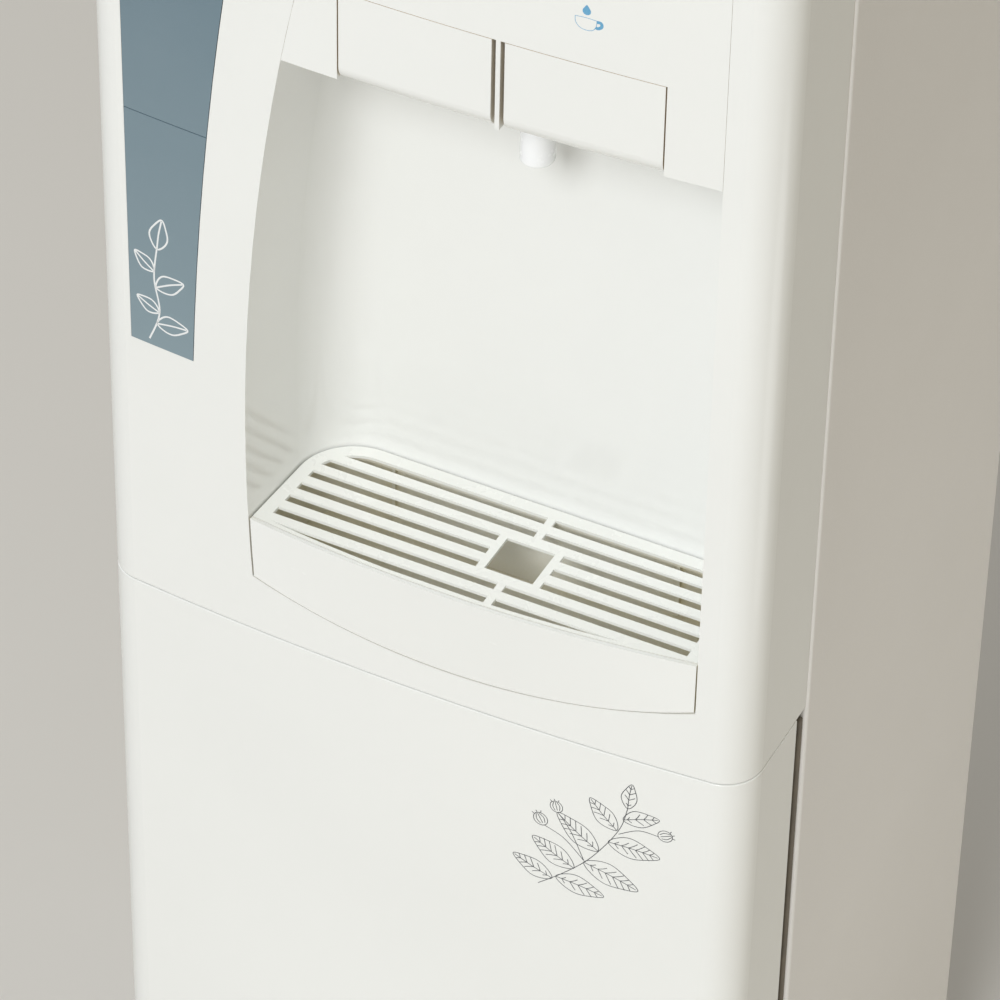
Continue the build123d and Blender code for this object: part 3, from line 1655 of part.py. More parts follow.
spike_top_z = overall_height - spike_tip_drop
spike_shoulder_z = spike_top_z - spike_tip
with BuildPart() as probe_spike:
    with Locations((0, 0, collar_neck_z)):
        Cylinder(
            spike_radius,
            spike_shoulder_z - collar_neck_z,
            align=(Align.CENTER, Align.CENTER, Align.MIN),
        )
    with Locations((0, 0, spike_shoulder_z)):
        Cone(
            spike_radius,
            spike_tip_radius,
            spike_tip,
            align=(Align.CENTER, Align.CENTER, Align.MIN),
        )
    with PolarLocations((spike_radius + spike_bore) / 2, spike_legs):
        with Locations((0, 0, collar_neck_z)):
            Box(
                collar_neck_radius - collar_wall - running_gap - (spike_radius + spike_bore) / 2,
                spike_leg_width,
                spike_leg_height,
                align=(Align.MIN, Align.CENTER, Align.MIN),
            )
    with Locations((0, 0, collar_neck_z)):
        Cylinder(
            spike_bore,
            spike_shoulder_z - collar_neck_z,
            align=(Align.CENTER, Align.CENTER, Align.MIN),
            mode=Mode.SUBTRACT,
        )
    with Locations((0, 0, spike_shoulder_z - 2 * spike_hole_radius)):
        Cylinder(spike_hole_radius, 4 * spike_radius, rotation=(90, 0, 0), mode=Mode.SUBTRACT)
        Cylinder(spike_hole_radius, 4 * spike_radius, rotation=(0, 90, 0), mode=Mode.SUBTRACT)
save(probe_spike, "probe_spike")

# Rear switches, control box and cord gland

rocker_y = rear_y + bezel_flange
rocker_places = [rocker_x - rocker_pitch / 2, rocker_x + rocker_pitch / 2]
window_half_width = rocker_width / 2 + rocker_gap
with BuildPart() as switch_bezel:
    with BuildSketch(facing(rear_y + bezel_flange)):
        with Locations((rocker_x, rocker_z)):
            Rectangle(bezel_width + 2 * bezel_flange_width, bezel_height + 2 * bezel_flange_width)
    extrude(amount=bezel_flange)
    with BuildSketch(facing(rear_y)):
        with Locations((rocker_x, rocker_z)):
            Rectangle(bezel_width, bezel_height)
    extrude(amount=bezel_depth)
    with BuildSketch(facing(rear_y + bezel_flange)):
        with Locations(*[(x, rocker_z) for x in rocker_places]):
            Rectangle(2 * window_half_width, rocker_height + 2 * rocker_gap)
    extrude(amount=bezel_flange + bezel_depth - bezel_wall, mode=Mode.SUBTRACT)
    with Locations(*[(x, rocker_y, rocker_z) for x in rocker_places]):
        Cylinder(
            rocker_pin_radius + running_gap,
            2 * (window_half_width + rocker_pin_grip + running_gap),
            rotation=(0, 90, 0),
            mode=Mode.SUBTRACT,
        )
save(switch_bezel, "switch_bezel")


def rocker(x):
    """Rocker with a shallow dished face, tipped so that its upper half is flat."""
    tilt = math.radians(rocker_tilt)
    dish = rocker_height / 2 * math.tan(tilt)
    tipped = Plane(
        origin=(x, rocker_y, rocker_z), x_dir=(0, math.cos(tilt), math.sin(tilt)), z_dir=(1, 0, 0)
    )
    with BuildPart() as piece:
        with BuildSketch(tipped):
            with BuildLine():
                Polyline(
                    (-rocker_back, -rocker_height / 2),
                    (rocker_front, -rocker_height / 2),
                    (rocker_front - dish, 0),
                    (rocker_front, rocker_height / 2),
                    (-rocker_back, rocker_height / 2),
                    close=True,
                )
            make_face()
        extrude(amount=rocker_width / 2, both=True)
        with Locations((x, rocker_y, rocker_z)):
            Cylinder(
                rocker_pin_radius,
                2 * (window_half_width + rocker_pin_grip),
                rotation=(0, 90, 0),
            )
    return piece


hot_rocker = rocker(rocker_places[0])
save(hot_rocker, "hot_rocker")
cold_rocker = rocker(rocker_places[1])
save(cold_rocker, "cold_rocker")

with BuildPart() as control_box:
    with Locations((box_x, box_y, deck_z)):
        Box(box_width, box_depth, box_height, align=(Align.CENTER, Align.CENTER, Align.MIN))
    with Locations((box_x, box_y, deck_z + box_wall)):
        Box(
            box_width - 2 * box_wall,
            box_depth - 2 * box_wall,
            box_height - 2 * box_wall,
            align=(Align.CENTER, Align.CENTER, Align.MIN),
            mode=Mode.SUBTRACT,
        )
    with BuildSketch(facing(box_y + box_depth)):
        with Locations((box_x, deck_z + box_height / 2)):
            with GridLocations(1, box_height / (box_vents + 3), 1, box_vents):
                SlotOverall(box_width / 2, 2 * box_wall)
    extrude(amount=box_depth, mode=Mode.SUBTRACT)
save(control_box, "control_box")

with BuildPart() as cord_gland:
    with BuildSketch(facing(rear_y + gland_flange)):
        with Locations((gland_x, gland_z)):
            Circle(gland_radius)
    extrude(amount=gland_flange)
    fillet(cord_gland.edges().group_by(Axis.Y)[-1], gland_flange / 2)
    with BuildSketch(facing(rear_y)):
        with Locations((gland_x, gland_z)):
            Circle(gland_neck_radius)
    extrude(amount=sheet + gland_nut)
    with BuildSketch(facing(rear_y - sheet)):
        with Locations((gland_x, gland_z)):
            RegularPolygon(gland_radius + sheet, 6)
    extrude(amount=gland_nut)
    with BuildSketch(facing(rear_y + gland_flange)):
        with Locations((gland_x, gland_z)):
            Circle(gland_bore)
    extrude(amount=gland_flange + sheet + gland_nut, mode=Mode.SUBTRACT)
save(cord_gland, "cord_gland")
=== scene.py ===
import json
import math
import bpy
import bmesh
from mathutils import Matrix, Vector


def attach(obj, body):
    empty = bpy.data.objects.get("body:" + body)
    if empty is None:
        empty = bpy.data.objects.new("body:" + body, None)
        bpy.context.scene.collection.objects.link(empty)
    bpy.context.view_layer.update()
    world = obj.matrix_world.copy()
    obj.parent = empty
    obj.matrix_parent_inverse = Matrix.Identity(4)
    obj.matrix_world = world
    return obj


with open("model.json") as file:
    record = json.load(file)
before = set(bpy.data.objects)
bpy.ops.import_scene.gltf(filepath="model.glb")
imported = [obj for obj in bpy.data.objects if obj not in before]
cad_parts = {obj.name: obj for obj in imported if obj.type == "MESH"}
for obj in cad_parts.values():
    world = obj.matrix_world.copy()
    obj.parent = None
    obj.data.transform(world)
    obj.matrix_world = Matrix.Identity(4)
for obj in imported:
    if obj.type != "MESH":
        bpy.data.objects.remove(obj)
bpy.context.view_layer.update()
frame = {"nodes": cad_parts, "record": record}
nodes = frame["nodes"]
slots_of = {part["node"]: part["material_slot"] for part in frame["record"]["subparts"]}

# Places on the part, in metres
FRONT_Y = -0.1708  # middle of the bowed front face
BOW_RADIUS = 1.625  # radius of that face, seen from above
PANEL_FRONT_Y = -0.0963  # front of the steel body behind the door
PADDLE_X = 0.0395  # middle of the divider between the paddles
PADDLE_OFFSET = 0.03985  # from there to the middle of each paddle
COLD_ICON_X = PADDLE_X + PADDLE_OFFSET + 0.0002
HOT_ICON_X = PADDLE_X - PADDLE_OFFSET
ICON_Z = 0.9102
SPRIG_X = 0.0978
SPRIG_Z = 0.4355
MM = 0.001  # prints are drawn in millimetres

# ---------------------------------------------------------------- materials


class Look:
    """Builds the node tree of one procedural material, in the object's own space."""

    def __init__(self, name, roughness, metallic=0.0, ior=1.49, coat=0.0):
        self.material = bpy.data.materials.new(name)
        self.material.use_nodes = True
        self.tree = self.material.node_tree
        self.shader = self.tree.nodes["Principled BSDF"]
        self.shader.inputs["Roughness"].default_value = roughness
        self.shader.inputs["Metallic"].default_value = metallic
        self.shader.inputs["IOR"].default_value = ior
        self.shader.inputs["Coat Weight"].default_value = coat
        self.place = self.add("ShaderNodeTexCoord").outputs["Object"]
        self.normal = None

    def add(self, kind, **settings):
        node = self.tree.nodes.new(kind)
        for key, value in settings.items():
            setattr(node, key, value)
        return node

    def link(self, source, target):
        self.tree.links.new(source, target)

    def stretched(self, scale):
        """The object's space, stretched along its axes."""
        mapping = self.add("ShaderNodeMapping")
        mapping.inputs["Scale"].default_value = scale
        self.link(self.place, mapping.inputs["Vector"])
        return mapping.outputs["Vector"]

    def noise(self, scale, detail=3.0, stretch=None, roughness=0.5, distortion=0.0):
        node = self.add("ShaderNodeTexNoise")
        node.inputs["Scale"].default_value = scale
        node.inputs["Detail"].default_value = detail
        node.inputs["Roughness"].default_value = roughness
        node.inputs["Distortion"].default_value = distortion
        self.link(self.stretched(stretch) if stretch else self.place, node.inputs["Vector"])
        return node.outputs["Fac"]

    def cells(self, scale, output="Distance"):
        node = self.add("ShaderNodeTexVoronoi")
        node.inputs["Scale"].default_value = scale
        self.link(self.place, node.inputs["Vector"])
        return node.outputs[output]

    def spread(self, value, low, high, start=0.3, end=0.7):
        """Value between start and end, brought to between low and high."""
        node = self.add("ShaderNodeMapRange")
        node.inputs["From Min"].default_value = start
        node.inputs["From Max"].default_value = end
        node.inputs["To Min"].default_value = low
        node.inputs["To Max"].default_value = high
        self.link(value, node.inputs["Value"])
        return node.outputs["Result"]

    def product(self, first, second):
        node = self.add("ShaderNodeMath", operation="MULTIPLY")
        self.link(first, node.inputs[0])
        self.link(second, node.inputs[1])
        return node.outputs["Value"]

    def height(self, low, high, bottom, top):
        """low at the bottom height and high at the top height, in metres."""
        split = self.add("ShaderNodeSeparateXYZ")
        self.link(self.place, split.inputs["Vector"])
        return self.spread(split.outputs["Z"], low, high, bottom, top)

    def blend(self, factor, first, second):
        """Colour between two colours or sockets."""
        node = self.add("ShaderNodeMix", data_type="RGBA")
        self.link(factor, node.inputs[0])
        for socket, value in ((node.inputs[6], first), (node.inputs[7], second)):
            if isinstance(value, tuple):
                socket.default_value = (*value, 1.0)
            else:
                self.link(value, socket)
        return node.outputs[2]

    def colour(self, socket):
        self.link(socket, self.shader.inputs["Base Color"])

    def rough(self, socket):
        self.link(socket, self.shader.inputs["Roughness"])

    def bump(self, height, distance, strength=1.0):
        node = self.add("ShaderNodeBump")
        node.inputs["Distance"].default_value = distance
        node.inputs["Strength"].default_value = strength
        self.link(height, node.inputs["Height"])
        if self.normal is not None:
            self.link(self.normal, node.inputs["Normal"])
        self.normal = node.outputs["Normal"]
        self.link(self.normal, self.shader.inputs["Normal"])

    def shaded_in_gaps(self, body, tone, reach, lowest):
        """The body colour with painted shade: toned where ambient occlusion finds gaps narrower
        than the reach, above a height.
        """
        nearby = self.add("ShaderNodeAmbientOcclusion", samples=4)
        nearby.inputs["Distance"].default_value = reach
        hollow = self.spread(nearby.outputs["AO"], 1.0, 0.0, 0.15, 0.75)
        above = self.height(0.0, 1.0, lowest, lowest + 0.01)
        return self.blend(self.product(hollow, above), body, tone)


def shade(colour, factor):
    return tuple(min(1.0, c * factor) for c in colour)


def moulded(name, colour, roughness=0.22, grain=0.0, tint=0.02, dust_and_gap_shade=None):
    """Injection-moulded plastic: faint flow clouds, handling marks, orange peel, grain,
    and painted shade in its gaps, given as the settings of Look's gap-shade method."""
    look = Look(name, roughness)
    clouds = look.spread(look.noise(7.0, 3.0), 0.0, 1.0)
    flow = look.spread(look.noise(2.2, 2.0, stretch=(1.0, 1.0, 0.35)), 0.0, 1.0)
    body = look.blend(clouds, shade(colour, 1.0 - tint), shade(colour, 1.0 + tint / 2))
    warm = (colour[0], colour[1] * 0.997, colour[2] * 0.985)
    body = look.blend(look.spread(flow, 0.0, 0.5, 0.0, 1.0), body, warm)
    # painted shade: darkens the colour in gaps found by ambient occlusion
    if dust_and_gap_shade:
        body = look.shaded_in_gaps(body, **dust_and_gap_shade)
    look.colour(body)
    wiped = look.noise(26.0, 5.0, stretch=(1.0, 1.0, 2.2), roughness=0.65, distortion=0.6)
    look.rough(look.spread(wiped, roughness * 0.85, roughness * 1.25))
    look.bump(look.noise(95.0, 2.0), 0.00003)
    if grain:
        look.bump(look.noise(2600.0, 2.0), grain)
    return look.material


def textured_paint(name, colour, roughness=0.42):
    """Powder coat on sheet steel: fine leather-like texture, slightly uneven sheen."""
    look = Look(name, roughness)
    clouds = look.spread(look.noise(4.0, 4.0), 0.0, 1.0)
    body = look.blend(clouds, shade(colour, 0.965), shade(colour, 1.02))
    specks = look.spread(look.cells(900.0), 0.0, 0.10, 0.0, 0.6)
    look.colour(look.blend(specks, body, shade(colour, 0.86)))
    uneven = look.noise(14.0, 4.0, roughness=0.6)
    look.rough(look.spread(uneven, roughness - 0.05, roughness + 0.08))
    look.bump(look.noise(420.0, 3.0, roughness=0.6), 0.00009)
    look.bump(look.noise(9.0, 2.0), 0.0006, 0.35)
    return look.material


def zinc(name, colour=(0.60, 0.62, 0.63)):
    """Zinc-coated sheet with spangle."""
    look = Look(name, 0.38, metallic=1.0)
    spangle = look.cells(70.0, output="Color")
    grey = look.add("ShaderNodeSeparateColor")
    look.link(spangle, grey.inputs["Color"])
    look.colour(look.blend(grey.outputs["Red"], shade(colour, 0.84), shade(colour, 1.12)))
    look.rough(look.spread(grey.outputs["Green"], 0.30, 0.50, 0.0, 1.0))
    look.bump(look.noise(300.0, 3.0), 0.00003)
    look.bump(look.noise(1500.0, 2.0, stretch=(0.05, 1.0, 1.0)), 0.00001)
    return look.material


def brushed(name, colour, roughness=0.30, stretch=(1.0, 1.0, 0.03), scale=900.0):
    """Drawn or brushed metal: fine lines along one axis, faint stains."""
    look = Look(name, roughness, metallic=1.0)
    lines = look.noise(scale, 2.0, stretch=stretch)
    stain = look.spread(look.noise(11.0, 4.0), 0.0, 1.0)
    look.colour(look.blend(stain, shade(colour, 0.90), shade(colour, 1.04)))
    look.rough(look.spread(lines, roughness - 0.07, roughness + 0.10))
    look.bump(lines, 0.00002)
    return look.material


def bare_copper(name):
    """Copper tube with tarnish and drawing lines."""
    look = Look(name, 0.34, metallic=1.0)
    tarnish = look.spread(look.noise(34.0, 5.0, roughness=0.65), 0.0, 1.0)
    look.colour(look.blend(tarnish, (0.70, 0.36, 0.22), (0.42, 0.20, 0.12)))
    look.rough(look.spread(tarnish, 0.26, 0.52, 0.0, 1.0))
    look.bump(look.noise(700.0, 2.0), 0.00002)
    return look.material


def satin_black(name, roughness=0.38):
    """Black enamel on steel, a little dusty on its upward faces."""
    look = Look(name, roughness)
    geometry = look.add("ShaderNodeNewGeometry")
    split = look.add("ShaderNodeSeparateXYZ")
    look.link(geometry.outputs["Normal"], split.inputs["Vector"])
    upward = look.spread(split.outputs["Z"], 0.0, 0.55, 0.2, 1.0)
    dust_and_gap_shade = look.noise(60.0, 5.0, roughness=0.7)
    dust = look.product(upward, dust_and_gap_shade)
    look.colour(look.blend(dust, (0.018, 0.018, 0.020), (0.20, 0.19, 0.175)))
    look.rough(look.spread(dust_and_gap_shade, roughness - 0.06, roughness + 0.22))
    look.bump(look.noise(350.0, 3.0), 0.00005)
    return look.material


def rubbery(name, colour, roughness=0.75):
    """Matt rubber with a dusty bloom."""
    look = Look(name, roughness)
    bloom = look.spread(look.noise(48.0, 5.0, roughness=0.65), 0.0, 1.0)
    look.colour(look.blend(bloom, colour, shade(colour, 1.6)))
    look.rough(look.spread(bloom, roughness - 0.08, roughness + 0.12, 0.0, 1.0))
    look.bump(look.noise(1100.0, 3.0), 0.00003)
    return look.material


def rigid_foam(name):
    """Rigid insulating foam with open cells at the skin."""
    look = Look(name, 0.9)
    cells = look.cells(420.0)
    blotch = look.spread(look.noise(16.0, 4.0), 0.0, 1.0)
    body = look.blend(blotch, (0.78, 0.66, 0.40), (0.86, 0.77, 0.54))
    look.colour(look.blend(look.spread(cells, 0.35, 0.0, 0.0, 0.5), body, (0.62, 0.50, 0.28)))
    look.bump(cells, 0.0006, 0.7)
    look.bump(look.noise(24.0, 3.0), 0.0015, 0.4)
    return look.material


def milky(name, colour, roughness=0.30, depth=0.004, weight=0.35):
    """Milky plastic or silicone that lets light a little way in."""
    look = Look(name, roughness, ior=1.45)
    clouds = look.spread(look.noise(60.0, 3.0), 0.0, 1.0)
    look.colour(look.blend(clouds, shade(colour, 0.97), shade(colour, 1.02)))
    look.shader.inputs["Subsurface Weight"].default_value = weight
    look.shader.inputs["Subsurface Radius"].default_value = (1.0, 1.0, 1.0)
    look.shader.inputs["Subsurface Scale"].default_value = depth
    look.rough(look.spread(look.noise(180.0, 3.0), roughness - 0.05, roughness + 0.08))
    look.bump(look.noise(400.0, 2.0), 0.00002)
    return look.material


def glossy_band(name):
    """Glossy band: grey-blue that pales towards its foot, under a clear coat."""
    look = Look(name, 0.16, coat=0.6)
    look.shader.inputs["Coat Roughness"].default_value = 0.04
    rise = look.height(0.0, 1.0, 0.65, 0.93)
    # grey-blue, paler towards the foot and darker towards the top
    height_tone = look.blend(rise, (0.215, 0.298, 0.342), (0.088, 0.160, 0.212))
    mottle = look.spread(look.noise(9.0, 3.0), 0.0, 0.35)
    look.colour(look.blend(mottle, height_tone, (0.205, 0.275, 0.318)))
    look.rough(look.spread(look.noise(30.0, 4.0, roughness=0.6), 0.13, 0.24))
    look.bump(look.noise(120.0, 2.0), 0.00002)
    return look.material


WHITE = (0.850, 0.860, 0.842)
# Painted shade: a warm-brown tone in the tap's narrow gaps, above 0.80 m
TAP_GAP_SHADE = {"tone": (0.66, 0.54, 0.36), "reach": 0.003, "lowest": 0.80}
# Painted shade in the tray's hollows, with a warm residue-stain tint
TRAY_HOLLOW_SHADE = {"tone": (0.70, 0.63, 0.42), "reach": 0.060, "lowest": 0.0}
BLACK = (0.022, 0.022, 0.024)
looks = {
    "white_shell": moulded("white_shell", WHITE, 0.12, dust_and_gap_shade=TAP_GAP_SHADE),
    "tray_plastic": moulded("tray_plastic", shade(WHITE, 1.015), 0.22, dust_and_gap_shade=TRAY_HOLLOW_SHADE),
    "grille_plastic": moulded("grille_plastic", (0.925, 0.935, 0.900), 0.26),
    "blue_band": glossy_band("blue_band"),
    "red_plastic": moulded("red_plastic", (0.52, 0.035, 0.028), 0.25, grain=0.00001),
    "green_plastic": moulded("green_plastic", (0.030, 0.240, 0.075), 0.25, grain=0.00001),
    "lamp_lens": milky("lamp_lens", (0.80, 0.42, 0.14), 0.12, depth=0.002, weight=0.5),
    "side_steel": textured_paint("side_steel", (0.840, 0.825, 0.805)),
    "galvanised_steel": zinc("galvanised_steel"),
    "bright_steel": brushed("bright_steel", (0.66, 0.66, 0.67), 0.24, (1.0, 1.0, 0.2), 1200.0),
    "black_steel": satin_black("black_steel"),
    "black_plastic": moulded("black_plastic", BLACK, 0.48, grain=0.00004, tint=0.15),
    "dark_rubber": rubbery("dark_rubber", (0.020, 0.020, 0.020)),
    "gasket_rubber": rubbery("gasket_rubber", (0.115, 0.098, 0.074), 0.62),
    "bush_plastic": milky("bush_plastic", (0.76, 0.76, 0.70), 0.4),
    "foam": rigid_foam("foam"),
    "liner_plastic": moulded("liner_plastic", (0.83, 0.83, 0.80), 0.38, grain=0.00002),
    "coated_wire": moulded("coated_wire", (0.82, 0.82, 0.81), 0.30),
    "valve_plastic": moulded("valve_plastic", (0.66, 0.67, 0.68), 0.42, grain=0.00002),
    "nozzle_plastic": milky("nozzle_plastic", (0.96, 0.975, 1.0), 0.22, weight=0.03),
    "silicone": milky("silicone", (0.74, 0.75, 0.74), 0.35),
    "stainless": brushed("stainless", (0.62, 0.62, 0.62)),
    "copper": bare_copper("copper"),
    "collar_plastic": moulded("collar_plastic", (0.80, 0.82, 0.82), 0.24),
}

for name, piece in nodes.items():
    piece.data.materials.clear()
    piece.data.materials.append(looks[slots_of[name]])

# ---------------------------------------------------------------- softened edges

SHARP_ANGLE = math.radians(40)

# Nodes by the width of their edge roundings, in metres
soft_edges = {
    0.0006: ("niche_liner", "switch_bezel"),
    0.0005: ("door_liner", "hot_rocker", "cold_rocker", "lock_slider"),
    0.0004: ("drip_tray", "drip_grille", "drain_cap", "control_box", "valve_bodies"),
    0.0003: ("rear_panel", "hinge_plates", "base_pan", "kick_panel", "condenser_brackets"),
    0.0002: ("front_shell", "tap_fascia", "hot_paddle", "cold_paddle"),
}
for width, names in soft_edges.items():
    for name in names:
        bevel = nodes[name].modifiers.new("soft_edges", "BEVEL")
        bevel.width = width
        bevel.segments = 2
        bevel.limit_method = "ANGLE"
        bevel.angle_limit = SHARP_ANGLE
        bevel.harden_normals = True

# ---------------------------------------------------------------- drawn lines and icons

LINE_LIFT = 0.00004  # how far a printed line stands off its face
FILL_LIFT = 0.00005  # how far a filled print does
BAND_FACE = 0.0002  # how far the band's face stands off the front

# Widths of the printed lines
DOOR_LINE = 0.00040
BAND_LINE = 0.0009
ICON_RIM = 0.00026
ICON_BOWL = 0.00028
ICON_HANDLE = 0.0015


def on_front(u, z, lift=0.0):
    """Point on the bowed front face at x = u, or lifted off it by a small height."""
    lean = math.asin(u / BOW_RADIUS)
    reach = BOW_RADIUS + lift
    return Vector((reach * math.sin(lean), FRONT_Y + BOW_RADIUS - reach * math.cos(lean), z))


def as_piece(name, mesh_data, look, body):
    """Makes a mesh object with its look that rides on a body."""
    mesh = bpy.data.meshes.new(name)
    mesh_data.to_mesh(mesh)
    mesh_data.free()
    mesh.materials.append(look)
    piece = bpy.data.objects.new(name, mesh)
    bpy.context.scene.collection.objects.link(piece)
    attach(piece, body)


def smooth_path(points, steps=10, closed=False):
    """Catmull-Rom curve through points given as (u, z)."""
    count = len(points)
    path = []
    spans = count if closed else count - 1
    for i in range(spans):
        if closed:
            p0, p1, p2, p3 = (points[(i + k - 1) % count] for k in range(4))
        else:
            p0 = points[max(i - 1, 0)]
            p1 = points[i]
            p2 = points[i + 1]
            p3 = points[min(i + 2, count - 1)]
        for s in range(steps):
            t = s / steps
            path.append(
                tuple(
                    0.5
                    * (
                        2 * p1[k]
                        + (p2[k] - p0[k]) * t
                        + (2 * p0[k] - 5 * p1[k] + 4 * p2[k] - p3[k]) * t**2
                        + (3 * p1[k] - p0[k] - 3 * p2[k] + p3[k]) * t**3
                    )
                    for k in (0, 1)
                )
            )
    if not closed:
        path.append(points[-1])
    return path


def draw_line(ink, path, width, base=0.0, closed=False):
    """Adds one printed line, a thin raised ribbon on the front face, to a mesh."""
    count = len(path)
    sections = []
    for i, (u, z) in enumerate(path):
        before = path[i - 1] if i or closed else path[0]
        after = path[(i + 1) % count] if i < count - 1 or closed else path[-1]
        du, dz = after[0] - before[0], after[1] - before[1]
        length = math.hypot(du, dz) or 1.0
        nu, nz = -dz / length * width / 2, du / length * width / 2
        section = ((1, base), (0.7, base + LINE_LIFT), (-0.7, base + LINE_LIFT), (-1, base))
        sections.append(
            [ink.verts.new(on_front(u + nu * k, z + nz * k, lift)) for k, lift in section]
        )
    spans = count if closed else count - 1
    for i in range(spans):
        near, far = sections[i], sections[(i + 1) % count]
        for k in range(4):
            m = (k + 1) % 4
            ink.faces.new((near[k], near[m], far[m], far[k]))
    if not closed:
        ink.faces.new(sections[0][::-1])
        ink.faces.new(sections[-1])


def fill_shape(ink, path):
    """Adds one flat printed shape with a raised top to a mesh."""
    low = [ink.verts.new(on_front(u, z)) for u, z in path]
    high = [ink.verts.new(on_front(u, z, FILL_LIFT)) for u, z in path]
    count = len(path)
    for i in range(count):
        k = (i + 1) % count
        ink.faces.new((low[i], low[k], high[k], high[i]))
    ink.faces.new(high)
    ink.faces.new(low[::-1])


def turned(path, x, y, angle):
    """The path turned by an angle in degrees and moved to a point, in its own unit."""
    c, s = math.cos(math.radians(angle)), math.sin(math.radians(angle))
    return [(x + px * c - py * s, y + px * s + py * c) for px, py in path]


def place(path, u, z, angle=0.0):
    """Turns a path drawn in millimetres and moves it to its place in metres."""
    return [(u + MM * x, z + MM * y) for x, y in turned(path, 0.0, 0.0, angle)]


def ink_look(name, colour, roughness=0.35):
    """Screen-printed ink: slightly uneven cover and a fine print grain."""
    look = Look(name, roughness)
    cover = look.spread(look.noise(900.0, 4.0, roughness=0.7), 0.0, 1.0)
    look.colour(look.blend(cover, colour, tuple(c + 0.06 * (1.0 - c) for c in colour)))
    look.rough(look.spread(cover, roughness - 0.06, roughness + 0.10, 0.0, 1.0))
    look.bump(look.noise(3000.0, 2.0), 0.000006)
    return look.material


def leaf_lines(length, width, veins):
    """Outline, midrib and side veins of one leaf that points along +x, in millimetres."""
    outline = [
        (0, 0),
        (length * 0.18, width * 0.36),
        (length * 0.42, width * 0.52),
        (length * 0.70, width * 0.36),
        (length, 0),
        (length * 0.74, -width * 0.30),
        (length * 0.45, -width * 0.46),
        (length * 0.18, -width * 0.32),
    ]
    midrib = [(0, 0), (length * 0.5, width * 0.04), (length * 0.96, 0)]
    lines = [(smooth_path(outline, 8, closed=True), True), (smooth_path(midrib, 10), False)]
    for i in range(veins):
        along = 0.68 * i / max(1, veins - 1)
        start = length * (0.12 + along)
        reach = width * 0.36 * math.sin(math.pi * (0.16 + along))
        for side in (1, -1):
            vein = [
                (start, width * 0.03),
                (start + reach * 0.55, side * reach * 0.55),
                (start + reach * 0.95, side * reach * 0.98),
            ]
            lines.append((smooth_path(vein, 5), False))
    return lines


def berry_lines(radius):
    """Small round bud with a crown and a few shading lines, in millimetres."""
    ring = [
        (radius * math.cos(a), radius * math.sin(a) * 1.08)
        for a in (2 * math.pi * i / 24 for i in range(24))
    ]
    lines = [(ring, True)]
    for k in (-0.45, 0.0, 0.45):
        shading = [
            (radius * k * 0.5, radius * 0.95),
            (radius * k * 1.25, radius * 0.1),
            (radius * k * 0.8, -radius * 0.7),
        ]
        lines.append((smooth_path(shading, 6), False))
    for degrees in (60, 90, 120):
        c, s = math.cos(math.radians(degrees)), math.sin(math.radians(degrees))
        tip = (radius * 1.45 * c, radius * 1.5 * s)
        lines.append(([(radius * c, radius * 1.08 * s), tip], False))
    return lines


def sprig(ink, centre_u, centre_z):
    """A branch with pairs of leaves and three buds, drawn in thin lines."""
    stem = [(-29, -33), (-17, -22), (-5, -9), (5, 6), (12, 20), (15, 33)]
    lines = [(smooth_path(stem, 10), False)]
    # x and y of the foot, angle, length, width, veins
    leaves = [
        (-22, -27, 158, 22, 11, 5),
        (-20, -25, -8, 25, 12, 5),
        (-11, -16, 150, 25, 13, 6),
        (-6, -10, -16, 29, 14, 6),
        (1, 0, 142, 27, 13, 6),
        (6, 8, -2, 26, 13, 6),
        (10, 17, 132, 21, 11, 5),
        (13, 25, 20, 19, 10, 4),
        (15, 33, 84, 16, 8, 4),
    ]
    for x, y, angle, length, width, veins in leaves:
        for path, closed in leaf_lines(length, width, veins):
            lines.append((turned(path, x, y, angle), closed))
    for x, y, angle, radius in ((-27, 6, 118, 3.6), (-20, 17, 104, 3.2), (31, 21, 24, 3.4)):
        root = (-6, -9) if x < 0 else (11, 15)
        middle = ((x + root[0]) / 2, (y + root[1]) / 2 + 3)
        lines.append((smooth_path([root, middle, (x, y)], 8), False))
        for path, closed in berry_lines(radius):
            raised = [(px, py + radius) for px, py in path]
            lines.append((turned(raised, x, y, angle - 90), closed))
    for path, closed in lines:
        draw_line(ink, place(path, centre_u, centre_z), DOOR_LINE, closed=closed)


grey_ink = ink_look("print_grey", (0.055, 0.060, 0.070))
white_ink = ink_look("print_white", (0.80, 0.82, 0.83))
blue_ink = ink_look("print_blue", (0.105, 0.360, 0.590))
red_ink = ink_look("print_red", (0.560, 0.055, 0.040))

door_print = bmesh.new()
sprig(door_print, SPRIG_X, SPRIG_Z)
as_piece("door_print", door_print, grey_ink, "door")

band_print = bmesh.new()
band_stem = smooth_path([(-4.5, -8.5), (1.5, 9.0), (-1.0, 28.0), (1.0, 46.0)], 10)
draw_line(band_print, place(band_stem, -0.1345, 0.6620), BAND_LINE, base=BAND_FACE)
for u, z, angle, length, width in (
    (-0.1345, 0.6640, 10, 17, 10),
    (-0.1333, 0.6710, 156, 13, 8),
    (-0.1345, 0.6850, 28, 17, 10),
    (-0.1355, 0.6940, 142, 13, 8),
    (-0.1335, 0.7075, 80, 18, 10),
):
    for path, closed in leaf_lines(length, width, 0):
        draw_line(band_print, place(path, u, z, angle), BAND_LINE, base=BAND_FACE, closed=closed)
as_piece("band_print", band_print, white_ink, "cabinet")


def drop_path(radius):
    """Outline of a round falling drop, point up, about its round part's centre."""
    path = []
    for i in range(25):
        a = math.radians(-212 + 244 * i / 24)
        path.append((radius * math.cos(a), radius * math.sin(a)))
    path.append((radius * 0.42, radius * 1.22))
    path.append((0.0, radius * 1.75))
    path.append((-radius * 0.42, radius * 1.22))
    return path


